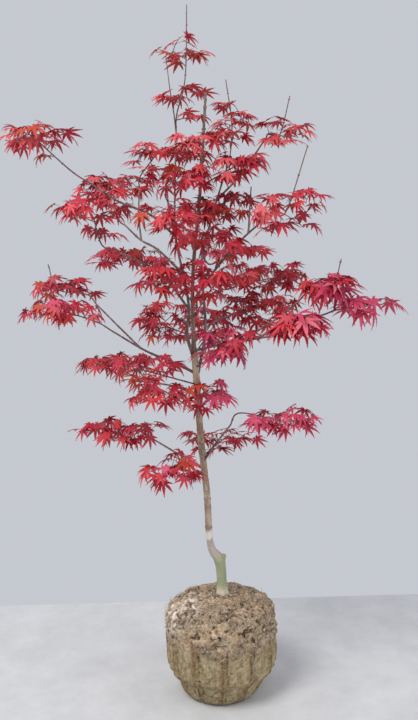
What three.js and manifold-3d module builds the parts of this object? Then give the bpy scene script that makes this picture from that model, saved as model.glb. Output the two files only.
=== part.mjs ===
// A young grafted Japanese maple with red leaves, standing on its own root ball.
//
// Millimetres, +Z up. The origin is the centre of the root ball's flat underside,
// +X runs to the right and +Y to the back. The plant is a trunk, boughs that leave the
// trunk or one another, and masses of leaves: each mass grows from one stem, at the tip
// of a bough or on the trunk, and keeps to its own rounded space.

import * as THREE from "three";
import { mergeVertices } from "three/addons/utils/BufferGeometryUtils.js";
import Module from "manifold-3d";

const wasm = await Module();
wasm.setup();

// ---------------------------------------------------------------- driving dimensions

const CLEARANCE = 0.3; // between any two neighbouring pieces

// Root ball: what a fluted nursery pot leaves behind, with crumbly soil above the flutes.
const BALL_CENTRE_X = 4; // the body bulges a little to the right of its foot
const BALL_FOOT_RADIUS = 68;
const BALL_FOOT_EDGE = 4; // the wall is even below this height
const BALL_RADIUS = 114;
const BALL_LEDGE = [46, 62]; // heights between which the wall steps out
const FLUTE_TOP = 126; // the flutes end here and the crumbly soil begins
const FLUTES = 12;
const FLUTE_DEPTH = 5;
const SOIL_TOP = 210; // where the trunk stands
const SOIL_ROUGHNESS = 4;
const TOP_ROUGHNESS = 2.8;
const PANEL_ROUGHNESS = 1.2; // of the pressed wall between the flutes
const SHOULDER_HEIGHT = 185; // the wall turns over into the top here
const SMOOTH_COLLAR = 30; // the soil round the trunk is even up to this radius
const BALL_STEPS = 48; // steps round the ball
const BALL_STEP = 17; // the longest step up its wall

// Trunk: green rootstock, the graft swelling above it, then the slender stem.
const TRUNK_BASE_RADIUS = 10;
const TRUNK_STEM_RADIUS = 6.8;
const TRUNK_LEADER_RADIUS = 4.4; // above the fork of the two leaders
const TRUNK_TIP_RADIUS = 2.4; // the cut end at the top
const ROOT_FLARE = 5; // what the flare adds at the soil
const ROOT_FLARE_HEIGHT = 9;
const GRAFT_HEIGHT = 284;
const GRAFT_SWELLING = 1.6;
const FORK_HEIGHT = 705;
const TRUNK_TOP = 1225;
const TRUNK_SIDES = 8;
const TRUNK_STEPS = 22;
const TRUNK_PATH = [
  [8, 0, SOIL_TOP + CLEARANCE],
  [7, 0, 262],
  [3, 0, 286],
  [-14, 1, 320],
  [-18, 3, 424],
  [-27, 2, 540],
  [-33, -2, 680],
  [-36, 0, 746],
  [-33, 3, 880],
  [-14, 0, 1040],
  [2, -2, TRUNK_TOP],
];
const STUB = { from: [7, 0, 262], tip: [13, -3, 296], thick: 6.5, thin: 5.5 };

// Boughs: the host, where they leave it (a height on the trunk, a share of a bough's
// length elsewhere), the bends, the tip, and the radii at both ends.
const BOUGHS = [
  { name: "left_leader", host: "trunk", at: 704, thick: 3.9, thin: 1.7,
    bends: [[-48, -18, 758], [-43, -24, 818], [-57, -34, 906]], tip: [-76, -46, 1016] },
  { name: "top_shoot", host: "left_leader", at: 0.7, thick: 2.4, thin: 1.5,
    bends: [[-64, -22, 949], [-65, -2, 1013]], tip: [-58, 15, 1150] },
  { name: "upper_left_bough", host: "left_leader", at: 0.68, thick: 2.6, thin: 1.6,
    bends: [[-101, 0, 927], [-137, 35, 948]], tip: [-169, 65, 978] },
  { name: "left_side_shoot", host: "upper_left_bough", at: 0.66, thick: 1.9, thin: 1.4,
    bends: [[-140, 44, 1000]], tip: [-137, 50, 1052] },
  { name: "far_left_bough", host: "left_leader", at: 0.86, thick: 2.4, thin: 1.6,
    bends: [[-109, -75, 992], [-164, -110, 1016]], tip: [-208, -130, 1046] },
  { name: "mid_left_bough", host: "left_leader", at: 0.47, thick: 2.5, thin: 1.6,
    bends: [[-95, -60, 882]], tip: [-176, -120, 928] },
  { name: "left_bough", host: "trunk", at: 678, thick: 3.0, thin: 1.7,
    bends: [[-78, -12, 703], [-132, -25, 730]], tip: [-193, -45, 772] },
  { name: "left_back_bough", host: "left_bough", at: 0.72, thick: 2.0, thin: 1.5,
    bends: [[-190, 0, 782]], tip: [-230, 25, 820] },
  { name: "back_left_bough", host: "trunk", at: 842, thick: 2.4, thin: 1.5,
    bends: [[-66, 60, 862]], tip: [-104, 100, 886] },
  { name: "low_back_left_bough", host: "trunk", at: 632, thick: 2.6, thin: 1.6,
    bends: [[-77, 70, 640]], tip: [-136, 120, 644] },
  { name: "low_left_bough", host: "trunk", at: 478, thick: 2.6, thin: 1.6,
    bends: [[-58, 30, 493]], tip: [-141, 80, 533] },
  { name: "low_right_bough", host: "trunk", at: 494, thick: 2.8, thin: 1.7,
    bends: [[-3, -12, 527]], tip: [32, -38, 576] },
  { name: "right_bough", host: "trunk", at: 724, thick: 3.0, thin: 1.7,
    bends: [[13, -35, 738], [84, -100, 758]], tip: [205, -158, 802] },
  { name: "right_upper_bough", host: "right_bough", at: 0.56, thick: 2.1, thin: 1.5,
    bends: [[128, -140, 800]], tip: [160, -165, 830] },
  { name: "right_front_bough", host: "right_bough", at: 0.42, thick: 2.1, thin: 1.5,
    bends: [[96, -146, 762]], tip: [121, -190, 772] },
  { name: "right_leader", host: "trunk", at: 664, thick: 3.6, thin: 1.7,
    bends: [[-12, 26, 762], [-15, 52, 900], [6, 60, 984]], tip: [37, 55, 1078] },
  { name: "high_right_bough", host: "right_leader", at: 0.86, thick: 2.2, thin: 1.5,
    bends: [[70, 66, 1076]], tip: [122, 62, 1146] },
  { name: "upper_right_bough", host: "trunk", at: 822, thick: 2.8, thin: 1.6,
    bends: [[11, -25, 885], [58, -45, 937]], tip: [113, -62, 984] },
  { name: "spare_shoot", host: "upper_right_bough", at: 0.78, thick: 1.7, thin: 1.1,
    bends: [[80, -52, 1003]], tip: [83, -53, 1040] },
  { name: "mid_right_bough", host: "right_leader", at: 0.26, thick: 2.2, thin: 1.5,
    bends: [[23, 60, 784]], tip: [58, 92, 789] },
  { name: "back_right_bough", host: "right_leader", at: 0.45, thick: 2.2, thin: 1.5,
    bends: [[25, 92, 842]], tip: [74, 140, 850] },
  { name: "back_bough", host: "right_leader", at: 0.53, thick: 2.1, thin: 1.5,
    bends: [[0, 92, 895]], tip: [26, 125, 902] },
];

// Leaf masses: the host (with a height where it is the trunk), the middle and the half
// sizes of the space, and the number of leaves. Some have a bare tip, a stem that sets
// off away from the middle, or no leaves between two heights.
const MASSES = [
  { name: "top_leaves", host: "top_shoot", middle: [-37, 18, 1259], half: [63, 56, 97],
    leaves: 10, bareTip: [-30, 20, 1394], bareBetween: [1222, 1304], tint: "coral" },
  { name: "leader_leaves", host: "left_leader", middle: [-47, -64, 1055],
    half: [58, 56, 46], leaves: 6, tint: "crimson" },
  { name: "side_shoot_leaves", host: "left_side_shoot", middle: [-110, 60, 1108],
    half: [60, 56, 44], leaves: 6, tint: "coral" },
  { name: "upper_left_leaves", host: "upper_left_bough", middle: [-196, 95, 1050],
    half: [93, 66, 53], leaves: 10, tint: "crimson" },
  { name: "far_left_leaves", host: "far_left_bough", middle: [-302, -158, 1126],
    half: [72, 60, 42], leaves: 7, tint: "coral" },
  { name: "mid_left_leaves", host: "mid_left_bough", middle: [-206, -152, 989],
    half: [65, 56, 42], leaves: 6, tint: "crimson" },
  { name: "left_leaves", host: "left_bough", middle: [-280, -84, 816],
    half: [76, 60, 44], leaves: 8, tint: "crimson" },
  { name: "left_back_leaves", host: "left_back_bough", middle: [-316, 62, 853],
    half: [87, 64, 42], leaves: 7, bareTip: [-332, 60, 905], tint: "crimson" },
  { name: "back_left_leaves", host: "back_left_bough", middle: [-167, 150, 912],
    half: [96, 70, 44], leaves: 8, tint: "dark" },
  { name: "low_back_left_leaves", host: "low_back_left_bough",
    middle: [-213, 180, 675], half: [85, 66, 49], leaves: 8, tint: "dark" },
  { name: "low_left_leaves", host: "low_left_bough", middle: [-194, 112, 539],
    half: [107, 64, 47], leaves: 8, tint: "dark" },
  { name: "low_right_leaves", host: "low_right_bough", middle: [135, -68, 589],
    half: [77, 66, 50], leaves: 8, tint: "rose" },
  { name: "right_leaves", host: "right_bough", middle: [284, -170, 816],
    half: [68, 60, 43], leaves: 4, tint: "rose" },
  { name: "right_upper_leaves", host: "right_upper_bough",
    middle: [214, -188, 849], half: [60, 56, 42], leaves: 7,
    bareTip: [231, -185, 900], tint: "rose" },
  { name: "right_front_leaves", host: "right_front_bough",
    middle: [149, -240, 796], half: [60, 56, 48], leaves: 7, tint: "rose" },
  { name: "upright_leaves", host: "right_leader", middle: [53, 50, 1173],
    half: [58, 56, 58], leaves: 7, bareTip: [43, 52, 1259], tint: "coral" },
  { name: "high_right_leaves", host: "high_right_bough", middle: [150, 60, 1152],
    half: [79, 58, 50], leaves: 6, bareTip: [171, 60, 1226], tint: "coral" },
  { name: "upper_right_leaves", host: "upper_right_bough",
    middle: [147, -72, 992], half: [80, 60, 65], leaves: 9,
    bareTip: [190, -66, 1112], tint: "crimson" },
  { name: "mid_right_leaves", host: "mid_right_bough", middle: [105, 132, 800],
    half: [82, 62, 52], leaves: 8, tint: "dark" },
  { name: "back_right_leaves", host: "back_right_bough", middle: [142, 196, 859],
    half: [74, 64, 54], leaves: 9, tint: "crimson" },
  { name: "back_leaves", host: "back_bough", middle: [60, 168, 915],
    half: [71, 60, 44], leaves: 6, tint: "dark" },
  { name: "inner_left_leaves", host: "trunk", at: 812,
    away: [0.15, -1, 0.1], middle: [-76, -112, 877],
    half: [67, 56, 45], leaves: 7, tint: "crimson" },
  { name: "lower_left_leaves", host: "trunk", at: 752, middle: [-101, 88, 770],
    half: [70, 56, 57], leaves: 8, tint: "dark" },
  { name: "front_left_leaves", host: "trunk", at: 655, middle: [-124, -104, 700],
    half: [60, 56, 43], leaves: 6, tint: "dark" },
  { name: "low_front_left_leaves", host: "trunk", at: 596, middle: [-94, -92, 659],
    half: [72, 56, 42], leaves: 6, tint: "crimson" },
  { name: "foot_left_leaves", host: "trunk", at: 466, middle: [-80, -72, 502],
    half: [63, 56, 55], leaves: 8, tint: "crimson" },
  { name: "foot_back_leaves", host: "trunk", at: 505, middle: [17, 88, 518],
    half: [76, 56, 42], leaves: 5, tint: "crimson" },
  { name: "foot_right_leaves", host: "trunk", at: 606, middle: [-6, -62, 634],
    half: [58, 56, 42], leaves: 5, tint: "rose" },
  { name: "front_right_leaves", host: "trunk", at: 690, middle: [28, -112, 742],
    half: [58, 56, 45], leaves: 6, tint: "rose" },
  { name: "back_middle_leaves", host: "trunk", at: 716, middle: [7, 128, 762],
    half: [65, 56, 52], leaves: 6, tint: "dark" },
  { name: "front_leaves", host: "trunk", at: 790, middle: [11, -98, 864],
    half: [60, 56, 45], leaves: 6, tint: "coral" },
  { name: "front_upper_leaves", host: "trunk", at: 918, middle: [-15, -84, 942],
    half: [63, 56, 44], leaves: 6, tint: "crimson" },
  { name: "front_high_left_leaves", host: "trunk", at: 952, middle: [-64, -138, 976],
    half: [58, 56, 42], leaves: 6, tint: "crimson" },
  { name: "collar_leaves", host: "trunk", at: 990, middle: [16, -20, 1008],
    half: [77, 56, 45], leaves: 7, tint: "crimson" },
  { name: "tip_leaves", host: "trunk", at: 1075, middle: [-12, -44, 1114],
    half: [60, 56, 47], leaves: 6, tint: "coral" },
  { name: "high_middle_leaves", host: "trunk", at: 1048, middle: [55, -48, 1080],
    half: [62, 56, 43], leaves: 6, tint: "crimson" },
];

// Leaves and twigs. A leaf has five slender lobes, given as an angle from its middle line
// and a share of its length, with the notches between them.
const LEAF_LENGTH = 44; // from the petiole to the tip of the middle lobe
const LEAF_THICKNESS = 1.7;
const LOBES = [[-104, 0.62], [-52, 0.92], [0, 1], [52, 0.92], [104, 0.62]];
const NOTCHES = [[-78, 0.36], [-26, 0.4], [26, 0.4], [78, 0.36]];
const PETIOLE_LENGTH = 12; // the shortest stalk
const LONG_STALK = 60;
const STALK_FOOT_RADII = [0.55, 0.85]; // of a short and of a long one
const STALK_NECK_RADIUS = 0.8;
const STEM_RADII = [2.1, 1.5];
const NODE_SPACING = 9; // where a twig or leaf can leave its stem
const BARE_TIP_FROM = 0.8; // the share of a bare-tipped stem that bears leaves
const LOBE_DROOP = 0.24; // how far the lobes hang, as a share of the leaf's length

const COLOURS = {
  soil: 0x7d6444,
  bark: 0x9a8f70,
  shoot: 0x5f3a34,
  crimson: 0xb01f32,
  dark: 0x8e1828,
  coral: 0xd2505c,
  rose: 0xc23a5a,
};

// ---------------------------------------------------------------- solids and helpers

const UP = new THREE.Vector3(0, 0, 1);
const vector = (p) => new THREE.Vector3(p[0], p[1], p[2]);
const mix = (a, b, t) => a + (b - a) * t;

// A closed geometry as a solid: shared vertices merged, folded triangles dropped.
function solidOf(geometry) {
  geometry.deleteAttribute("normal");
  geometry.deleteAttribute("uv");
  const merged = mergeVertices(geometry, 1e-4);
  const corners = merged.index.array;
  const kept = [];
  for (let i = 0; i < corners.length; i += 3) {
    const [a, b, c] = [corners[i], corners[i + 1], corners[i + 2]];
    if (a !== b && b !== c && c !== a) kept.push(a, b, c);
  }
  return new wasm.Manifold(new wasm.Mesh({
    numProp: 3,
    vertProperties: new Float32Array(merged.attributes.position.array),
    triVerts: new Uint32Array(kept),
  }));
}

function geometryOf(solid) {
  const mesh = solid.getMesh();
  const geometry = new THREE.BufferGeometry();
  const positions = new Float32Array(mesh.vertProperties);
  geometry.setAttribute("position", new THREE.BufferAttribute(positions, 3));
  geometry.setIndex(new THREE.BufferAttribute(new Uint32Array(mesh.triVerts), 1));
  geometry.computeVertexNormals();
  return geometry;
}

// The largest connected piece of a solid; a loose scrap is dropped.
function mainBody(solid) {
  const bodies = solid.decompose();
  return bodies.reduce((best, body) => (body.volume() > best.volume() ? body : best));
}

function indexed(positions, faces) {
  const geometry = new THREE.BufferGeometry();
  geometry.setAttribute("position", new THREE.Float32BufferAttribute(positions, 3));
  geometry.setIndex(faces);
  return geometry;
}

// A closed tapering tube round a path. The frame is carried along without twisting.
function tube(path, radiusAt, sides, steps, firstDirection) {
  const positions = [];
  const faces = [];
  let normal = null;
  for (let i = 0; i <= steps; i += 1) {
    const t = i / steps;
    const direction = i === 0 && firstDirection ? firstDirection : path.getTangent(t);
    if (!normal) normal = new THREE.Vector3(0.36, 0.93, 0.08);
    normal.addScaledVector(direction, -normal.dot(direction)).normalize();
    const across = new THREE.Vector3().crossVectors(direction, normal);
    const middle = path.getPoint(t);
    const radius = radiusAt(t, middle);
    for (let j = 0; j < sides; j += 1) {
      const angle = (2 * Math.PI * j) / sides;
      const p = middle.clone()
        .addScaledVector(normal, radius * Math.cos(angle))
        .addScaledVector(across, radius * Math.sin(angle));
      positions.push(p.x, p.y, p.z);
    }
  }
  for (let i = 0; i < steps; i += 1) {
    for (let j = 0; j < sides; j += 1) {
      const a = i * sides + j;
      const b = i * sides + ((j + 1) % sides);
      faces.push(a, b, b + sides, a, b + sides, a + sides);
    }
  }
  for (let j = 1; j < sides - 1; j += 1) {
    const last = steps * sides;
    faces.push(0, j + 1, j, last, last + j, last + j + 1);
  }
  return solidOf(indexed(positions, faces));
}

const pathThrough = (points) =>
  new THREE.CatmullRomCurve3(points, false, "catmullrom", 0.5);

const straight = (a, b) => new THREE.LineCurve3(a, b);

// ---------------------------------------------------------------- root ball

// The crumbly surface, the same on every build.
function crumble(angle, height) {
  return (
    0.5 * Math.sin(7 * angle + 0.11 * height) +
    0.3 * Math.sin(13 * angle - 0.17 * height + 1.3) +
    0.2 * Math.sin(23 * angle + 0.31 * height + 2.1)
  );
}

function fluteOffset(angle) {
  const turn = (angle * FLUTES) / (2 * Math.PI);
  const fromRib = Math.abs(turn - Math.round(turn)) * 2; // 0 on a rib, 1 between two
  return fromRib < 0.3 ? 0.5 : -0.5;
}

function rootBall() {
  const [ledgeLow, ledgeHigh] = BALL_LEDGE;
  const profile = [
    [0, 0],
    [BALL_FOOT_RADIUS, 0],
    [BALL_FOOT_RADIUS + 10, 8],
    [BALL_FOOT_RADIUS + 20, 26],
    [BALL_RADIUS - 17, ledgeLow],
    [BALL_RADIUS - 2, ledgeHigh],
    [BALL_RADIUS, 84],
    [BALL_RADIUS, FLUTE_TOP - 2],
    [BALL_RADIUS + 1, FLUTE_TOP + 6],
    [BALL_RADIUS + 2, 160],
    [BALL_RADIUS - 2, 177],
    [BALL_RADIUS - 10, 189],
    [BALL_RADIUS - 28, 198],
    [BALL_RADIUS - 58, 205],
    [22, SOIL_TOP],
    [0, SOIL_TOP],
  ].map(([r, z]) => new THREE.Vector2(r, z));
  const outline = profile.flatMap((corner, i) => {
    if (i < 2 || i === profile.length - 1) return [corner];
    const before = profile[i - 1];
    const parts = Math.ceil(before.distanceTo(corner) / BALL_STEP);
    return Array.from({ length: parts }, (_, k) => (
      before.clone().lerp(corner, (k + 1) / parts)));
  });
  const geometry = new THREE.LatheGeometry(outline, BALL_STEPS);
  geometry.deleteAttribute("normal");
  geometry.deleteAttribute("uv");
  geometry.rotateX(Math.PI / 2);
  const spots = geometry.attributes.position;
  for (let i = 0; i < spots.count; i += 1) {
    const [x, y, z] = [spots.getX(i), spots.getY(i), spots.getZ(i)];
    const round = Math.hypot(x, y);
    const angle = Math.round((Math.atan2(y, x) * BALL_STEPS) / (2 * Math.PI));
    const turn = (((angle + BALL_STEPS) % BALL_STEPS) * 2 * Math.PI) / BALL_STEPS;
    const rough = round > SMOOTH_COLLAR;
    let radius = round;
    let height = z;
    if (z > BALL_FOOT_EDGE && z < FLUTE_TOP) {
      radius += FLUTE_DEPTH * fluteOffset(turn) + PANEL_ROUGHNESS * crumble(turn, 0.4 * z);
    }
    if (z > FLUTE_TOP && rough) radius += SOIL_ROUGHNESS * crumble(turn, z);
    if (z > SHOULDER_HEIGHT && rough) height += TOP_ROUGHNESS * crumble(turn + 1, round);
    const shift = BALL_CENTRE_X * THREE.MathUtils.smoothstep(z, 0, ledgeHigh);
    spots.setXYZ(i, radius * Math.cos(turn) + shift, radius * Math.sin(turn), height);
  }
  return solidOf(geometry);
}

// ---------------------------------------------------------------- trunk and boughs

function trunkRadius(height) {
  const { smoothstep } = THREE.MathUtils;
  const aboveGraft = smoothstep(height, GRAFT_HEIGHT - 6, GRAFT_HEIGHT + 44);
  const aboveFork = smoothstep(height, FORK_HEIGHT, FORK_HEIGHT + 45);
  const toTip = Math.max(0, (height - FORK_HEIGHT) / (TRUNK_TOP - FORK_HEIGHT));
  const flare = ROOT_FLARE * Math.exp(-(height - SOIL_TOP) / ROOT_FLARE_HEIGHT);
  const swelling = GRAFT_SWELLING * Math.exp(-(((height - GRAFT_HEIGHT) / 12) ** 2));
  const stem = mix(TRUNK_BASE_RADIUS, TRUNK_STEM_RADIUS, aboveGraft);
  const leader = mix(TRUNK_LEADER_RADIUS, TRUNK_TIP_RADIUS, toTip);
  return mix(stem, leader, aboveFork) + flare + swelling;
}

const limbs = new Map(); // name -> { path, solid, room, tipRadius }

function buildTrunk() {
  const path = pathThrough(TRUNK_PATH.map(vector));
  const grown = (extra) => tube(
    path, (t, p) => trunkRadius(p.z) + extra, TRUNK_SIDES, TRUNK_STEPS, UP.clone());
  const stub = tube(
    straight(vector(STUB.from), vector(STUB.tip)),
    (t) => mix(STUB.thick, STUB.thin, t), 6, 1);
  limbs.set("trunk", {
    path,
    solid: grown(0).add(stub),
    room: grown(CLEARANCE * 1.15).add(stub),
  });
}

// The place on a host: by height on the trunk, by share of the length on a bough.
function placeOn(hostName, at) {
  const { path } = limbs.get(hostName);
  if (hostName !== "trunk") return path.getPoint(at);
  let [low, high] = [0, 1];
  for (let i = 0; i < 40; i += 1) {
    const t = (low + high) / 2;
    if (path.getPoint(t).z < at) low = t;
    else high = t;
  }
  return path.getPoint(low);
}

function buildBough(bough) {
  const { name, host, at, bends, tip, thick, thin } = bough;
  const points = [placeOn(host, at), ...bends.map(vector), vector(tip)];
  const path = pathThrough(points);
  const sides = thick > 2.7 ? 6 : 5;
  const steps = Math.max(3, Math.round(path.getLength() / 50));
  const grown = (extra) => tube(path, (t) => mix(thick, thin, t) + extra, sides, steps);
  const solid = mainBody(grown(0).subtract(limbs.get(host).room));
  limbs.set(name, { path, solid, room: grown(CLEARANCE * 1.3), tipRadius: thin });
}

// ---------------------------------------------------------------- leaf masses

function seededDraw(seed) {
  let state = seed * 7919 + 17;
  const draw = () => {
    state = (state * 16807) % 2147483647;
    return state / 2147483647;
  };
  for (let i = 0; i < 5; i += 1) draw();
  return draw;
}

// How deep a place lies in a space: 0 in its middle, 1 on its surface.
function depthIn(space, p) {
  const [hx, hy, hz] = space.half;
  const [mx, my, mz] = space.middle;
  return Math.hypot((p.x - mx) / hx, (p.y - my) / hy, (p.z - mz) / hz);
}

// The distance from a place inside a space to its surface.
function reachIn(space, p, direction) {
  if (depthIn(space, p) >= 1) return 0;
  let [low, high] = [0, 400];
  for (let i = 0; i < 30; i += 1) {
    const d = (low + high) / 2;
    if (depthIn(space, p.clone().addScaledVector(direction, d)) < 1) low = d;
    else high = d;
  }
  return low;
}

// A leaf on its stalk, three-sided and straight, which is a petiole where it is short and
// a twig where it is long. The blade at its end is thin and lobed, and points ahead.
function leafSolid(root, joint, ahead, size, droop, roll) {
  const side = new THREE.Vector3().crossVectors(ahead, UP).normalize();
  side.applyAxisAngle(ahead, roll);
  const forward = ahead.clone().applyAxisAngle(side, -droop);
  const normal = new THREE.Vector3().crossVectors(side, forward).normalize();
  const spot = (out, aside, above) => joint.clone()
    .addScaledVector(forward, out)
    .addScaledVector(side, aside)
    .addScaledVector(normal, above);
  const onBlade = ([degrees, share]) => {
    const angle = (degrees * Math.PI) / 180;
    const length = size * share;
    const hang = -LOBE_DROOP * size * share * share;
    return spot(length * Math.cos(angle), length * Math.sin(angle), share > 0.5 ? hang : 0);
  };
  const ring = [];
  LOBES.forEach((lobe, i) => {
    ring.push(onBlade(lobe));
    if (i < NOTCHES.length) ring.push(onBlade(NOTCHES[i]));
  });
  const stalk = joint.clone().sub(root);
  const share = Math.min(1, stalk.length() / LONG_STALK);
  const wide = mix(...STALK_FOOT_RADII, share);
  stalk.normalize();
  const across = side.clone().addScaledVector(stalk, -side.dot(stalk)).normalize();
  const above = new THREE.Vector3().crossVectors(across, stalk);
  const r = STALK_NECK_RADIUS;
  const neck = [spot(0, r, 0.4), spot(0, -r, 0.4), spot(0, 0, -r)];
  const foot = [[wide, 0.5 * wide], [-wide, 0.5 * wide], [0, -wide]].map(([a, b]) => (
    root.clone().addScaledVector(across, a).addScaledVector(above, b)));
  const top = spot(0.2 * size, 0, LEAF_THICKNESS / 2);
  const under = spot(0.2 * size, 0, -LEAF_THICKNESS / 2);
  const all = [...ring, ...neck, ...foot, top, under];
  const n = ring.length;
  const [right, left, low] = [n, n + 1, n + 2];
  const [footRight, footLeft, footLow] = [n + 3, n + 4, n + 5];
  const [topCorner, underCorner] = [n + 6, n + 7];
  const faces = [];
  for (let i = 0; i < n - 1; i += 1) {
    faces.push(topCorner, i + 1, i, underCorner, i, i + 1);
  }
  faces.push(topCorner, right, n - 1, topCorner, left, right, topCorner, 0, left);
  faces.push(underCorner, n - 1, right, underCorner, right, low);
  faces.push(underCorner, low, left, underCorner, left, 0);
  const sidesOf = [[right, left, footLeft, footRight], [left, low, footLow, footLeft],
    [low, right, footRight, footLow]];
  for (const [a, b, c, d] of sidesOf) faces.push(a, c, d, a, b, c);
  faces.push(footRight, footLeft, footLow);
  const solid = solidOf(indexed(all.flatMap((p) => [p.x, p.y, p.z]), faces));
  const middle = spot(0.45 * size, 0, 0);
  return { solid, corners: ring, middle };
}

function boxOf(solid) {
  const { min, max } = solid.boundingBox();
  return new THREE.Box3(vector(min), vector(max));
}

// Whether a new twig or leaf keeps clear of every solid that is already there.
function clearOf(solid, box, obstacles) {
  const near = box.clone().expandByScalar(CLEARANCE * 2);
  return obstacles.every((other) => !near.intersectsBox(other.box)
    || solid.minGap(other.solid, CLEARANCE * 2) >= CLEARANCE * 1.1);
}

// Where a mass's stem starts, and the way it sets off.
function stemStart(mass) {
  const middle = vector(mass.middle);
  if (mass.host === "trunk") {
    const point = placeOn("trunk", mass.at);
    const direction = mass.away ? vector(mass.away) : middle.sub(point);
    return { point, direction: direction.normalize() };
  }
  const { path } = limbs.get(mass.host);
  const direction = path.getTangent(1);
  return { point: path.getPoint(1).addScaledVector(direction, CLEARANCE), direction };
}

function stemPath(mass) {
  const { point, direction } = stemStart(mass);
  const middle = vector(mass.middle);
  const early = point.clone().addScaledVector(direction, 0.35 * middle.distanceTo(point));
  let end;
  if (mass.bareTip) {
    end = vector(mass.bareTip);
  } else {
    const onward = middle.clone().sub(point);
    onward.z *= 0.6;
    onward.normalize();
    const run = Math.max(6, reachIn(mass, middle, onward) - LEAF_LENGTH * 1.1);
    end = middle.clone().addScaledVector(onward, run);
  }
  return pathThrough([point, early, middle, end]);
}

// Twigs and leaves are grown towards places spread evenly through the space: each place
// is reached from the nearest point of what has grown so far.
function growMass(mass, stem, obstacles, others, seed) {
  const draw = seededDraw(seed);
  const pieces = [stem.solid];
  const blades = [];
  const grown = []; // what a new twig or leaf may not cross in its own mass
  let nodes = [];
  const keep = (solid, rest) => {
    const box = boxOf(solid);
    if (!clearOf(solid, box, obstacles) || !clearOf(solid, box, rest)) return false;
    pieces.push(solid);
    return true;
  };
  const addNodes = (from, to, owner) => {
    const count = Math.max(1, Math.round(from.distanceTo(to) / NODE_SPACING));
    for (let i = 1; i <= count; i += 1) {
      nodes.push({ point: from.clone().lerp(to, i / count), owner });
    }
  };
  const belongs = (p) => {
    const depth = depthIn(mass, p);
    return depth < 1 && others.every((other) => depthIn(other, p) > depth);
  };
  const leafy = mass.bareTip ? BARE_TIP_FROM : 1;
  let before = stem.path.getPoint(0);
  for (let i = 1; i <= 24; i += 1) {
    const here = stem.path.getPoint((i / 24) * leafy * 0.99);
    if (depthIn(mass, here) < 0.95) addNodes(before, here, null);
    before = here;
  }
  const growLeaf = (target) => {
    const [bareFrom, bareTo] = mass.bareBetween || [0, 0];
    if (nodes.length === 0 || (target.z > bareFrom && target.z < bareTo)) return;
    const node = nodes.reduce((best, other) => (
      other.point.distanceTo(target) < best.point.distanceTo(target) ? other : best));
    const root = node.point;
    const heading = target.clone().sub(root);
    const size = LEAF_LENGTH * mix(0.88, 1.12, draw());
    const droop = mix(0.1, 0.6, draw());
    const roll = mix(-0.45, 0.45, draw());
    const length = Math.max(PETIOLE_LENGTH, heading.length() - size * 0.3);
    heading.normalize();
    const joint = root.clone().addScaledVector(heading, length);
    const level = heading.clone();
    level.z = THREE.MathUtils.clamp(level.z, -0.3, 0.3);
    if (Math.hypot(level.x, level.y) < 0.3) {
      level.set(Math.cos(droop * 20), Math.sin(droop * 20), 0);
    }
    level.normalize();
    const rest = grown.filter((piece) => piece !== node.owner);
    for (const turn of [0, 0.6, -0.6]) {
      const ahead = level.clone().applyAxisAngle(UP, turn);
      const leaf = leafSolid(root, joint, ahead, size, droop, roll);
      const inside = leaf.corners.every((corner) => depthIn(mass, corner) < 1.22);
      if (inside && belongs(leaf.middle) && keep(leaf.solid, rest)) {
        const owner = { solid: leaf.solid, box: boxOf(leaf.solid) };
        blades.push(leaf.middle);
        grown.push(owner);
        nodes = nodes.filter((other) => other !== node);
        const upTo = root.clone().lerp(joint, 0.8);
        if (length > 2 * NODE_SPACING) addNodes(root.clone().lerp(joint, 0.3), upTo, owner);
        return;
      }
    }
  };
  for (let k = 0; k < mass.leaves * 30 && blades.length < mass.leaves; k += 1) {
    const around = 2 * Math.PI * draw();
    const lift = mix(-1, 1, draw());
    const out = Math.cbrt(draw()) * 0.92;
    const flat = Math.sqrt(1 - lift * lift);
    const target = new THREE.Vector3(
      mass.middle[0] + mass.half[0] * out * flat * Math.cos(around),
      mass.middle[1] + mass.half[1] * out * flat * Math.sin(around),
      mass.middle[2] + mass.half[2] * out * lift * 0.8,
    );
    const apart = mix(0.85, 0.45, k / (mass.leaves * 30)) * LEAF_LENGTH;
    if (blades.every((middle) => middle.distanceTo(target) > apart)) growLeaf(target);
  }
  return mainBody(pieces.reduce((whole, piece) => whole.add(piece)));
}

// ---------------------------------------------------------------- the whole plant

const ball = rootBall();
buildTrunk();
BOUGHS.forEach(buildBough);

const stems = MASSES.map((mass) => {
  const path = stemPath(mass);
  const steps = mass.bareTip ? 6 : 4;
  const rod = tube(path, (t) => mix(...STEM_RADII, t), 3, steps);
  const onTrunk = mass.host === "trunk";
  return { path, solid: onTrunk ? mainBody(rod.subtract(limbs.get("trunk").room)) : rod };
});

const withBox = (solid) => ({ solid, box: boxOf(solid) });
const fixedObstacles = [withBox(ball), ...[...limbs.values()].map((l) => withBox(l.solid))];
const massObstacles = stems.map((stem) => withBox(stem.solid));
MASSES.forEach((mass, i) => {
  const elsewhere = massObstacles.filter((_, j) => j !== i);
  const others = MASSES.filter((_, j) => j !== i);
  const grown = growMass(mass, stems[i], [...fixedObstacles, ...elsewhere], others, i + 1);
  massObstacles[i] = withBox(grown);
});

const maple = new THREE.Group();
maple.name = "japanese_maple";

function addNode(name, solid, colour, roughness) {
  const material = new THREE.MeshStandardMaterial({ color: colour, roughness, metalness: 0 });
  const mesh = new THREE.Mesh(geometryOf(solid), material);
  mesh.name = name;
  maple.add(mesh);
}

addNode("root_ball", ball, COLOURS.soil, 0.95);
addNode("trunk", limbs.get("trunk").solid, COLOURS.bark, 0.8);
for (const { name } of BOUGHS) addNode(name, limbs.get(name).solid, COLOURS.shoot, 0.7);
MASSES.forEach(({ name, tint }, i) => {
  addNode(name, massObstacles[i].solid, COLOURS[tint], 0.6);
});

export default maple;
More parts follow.
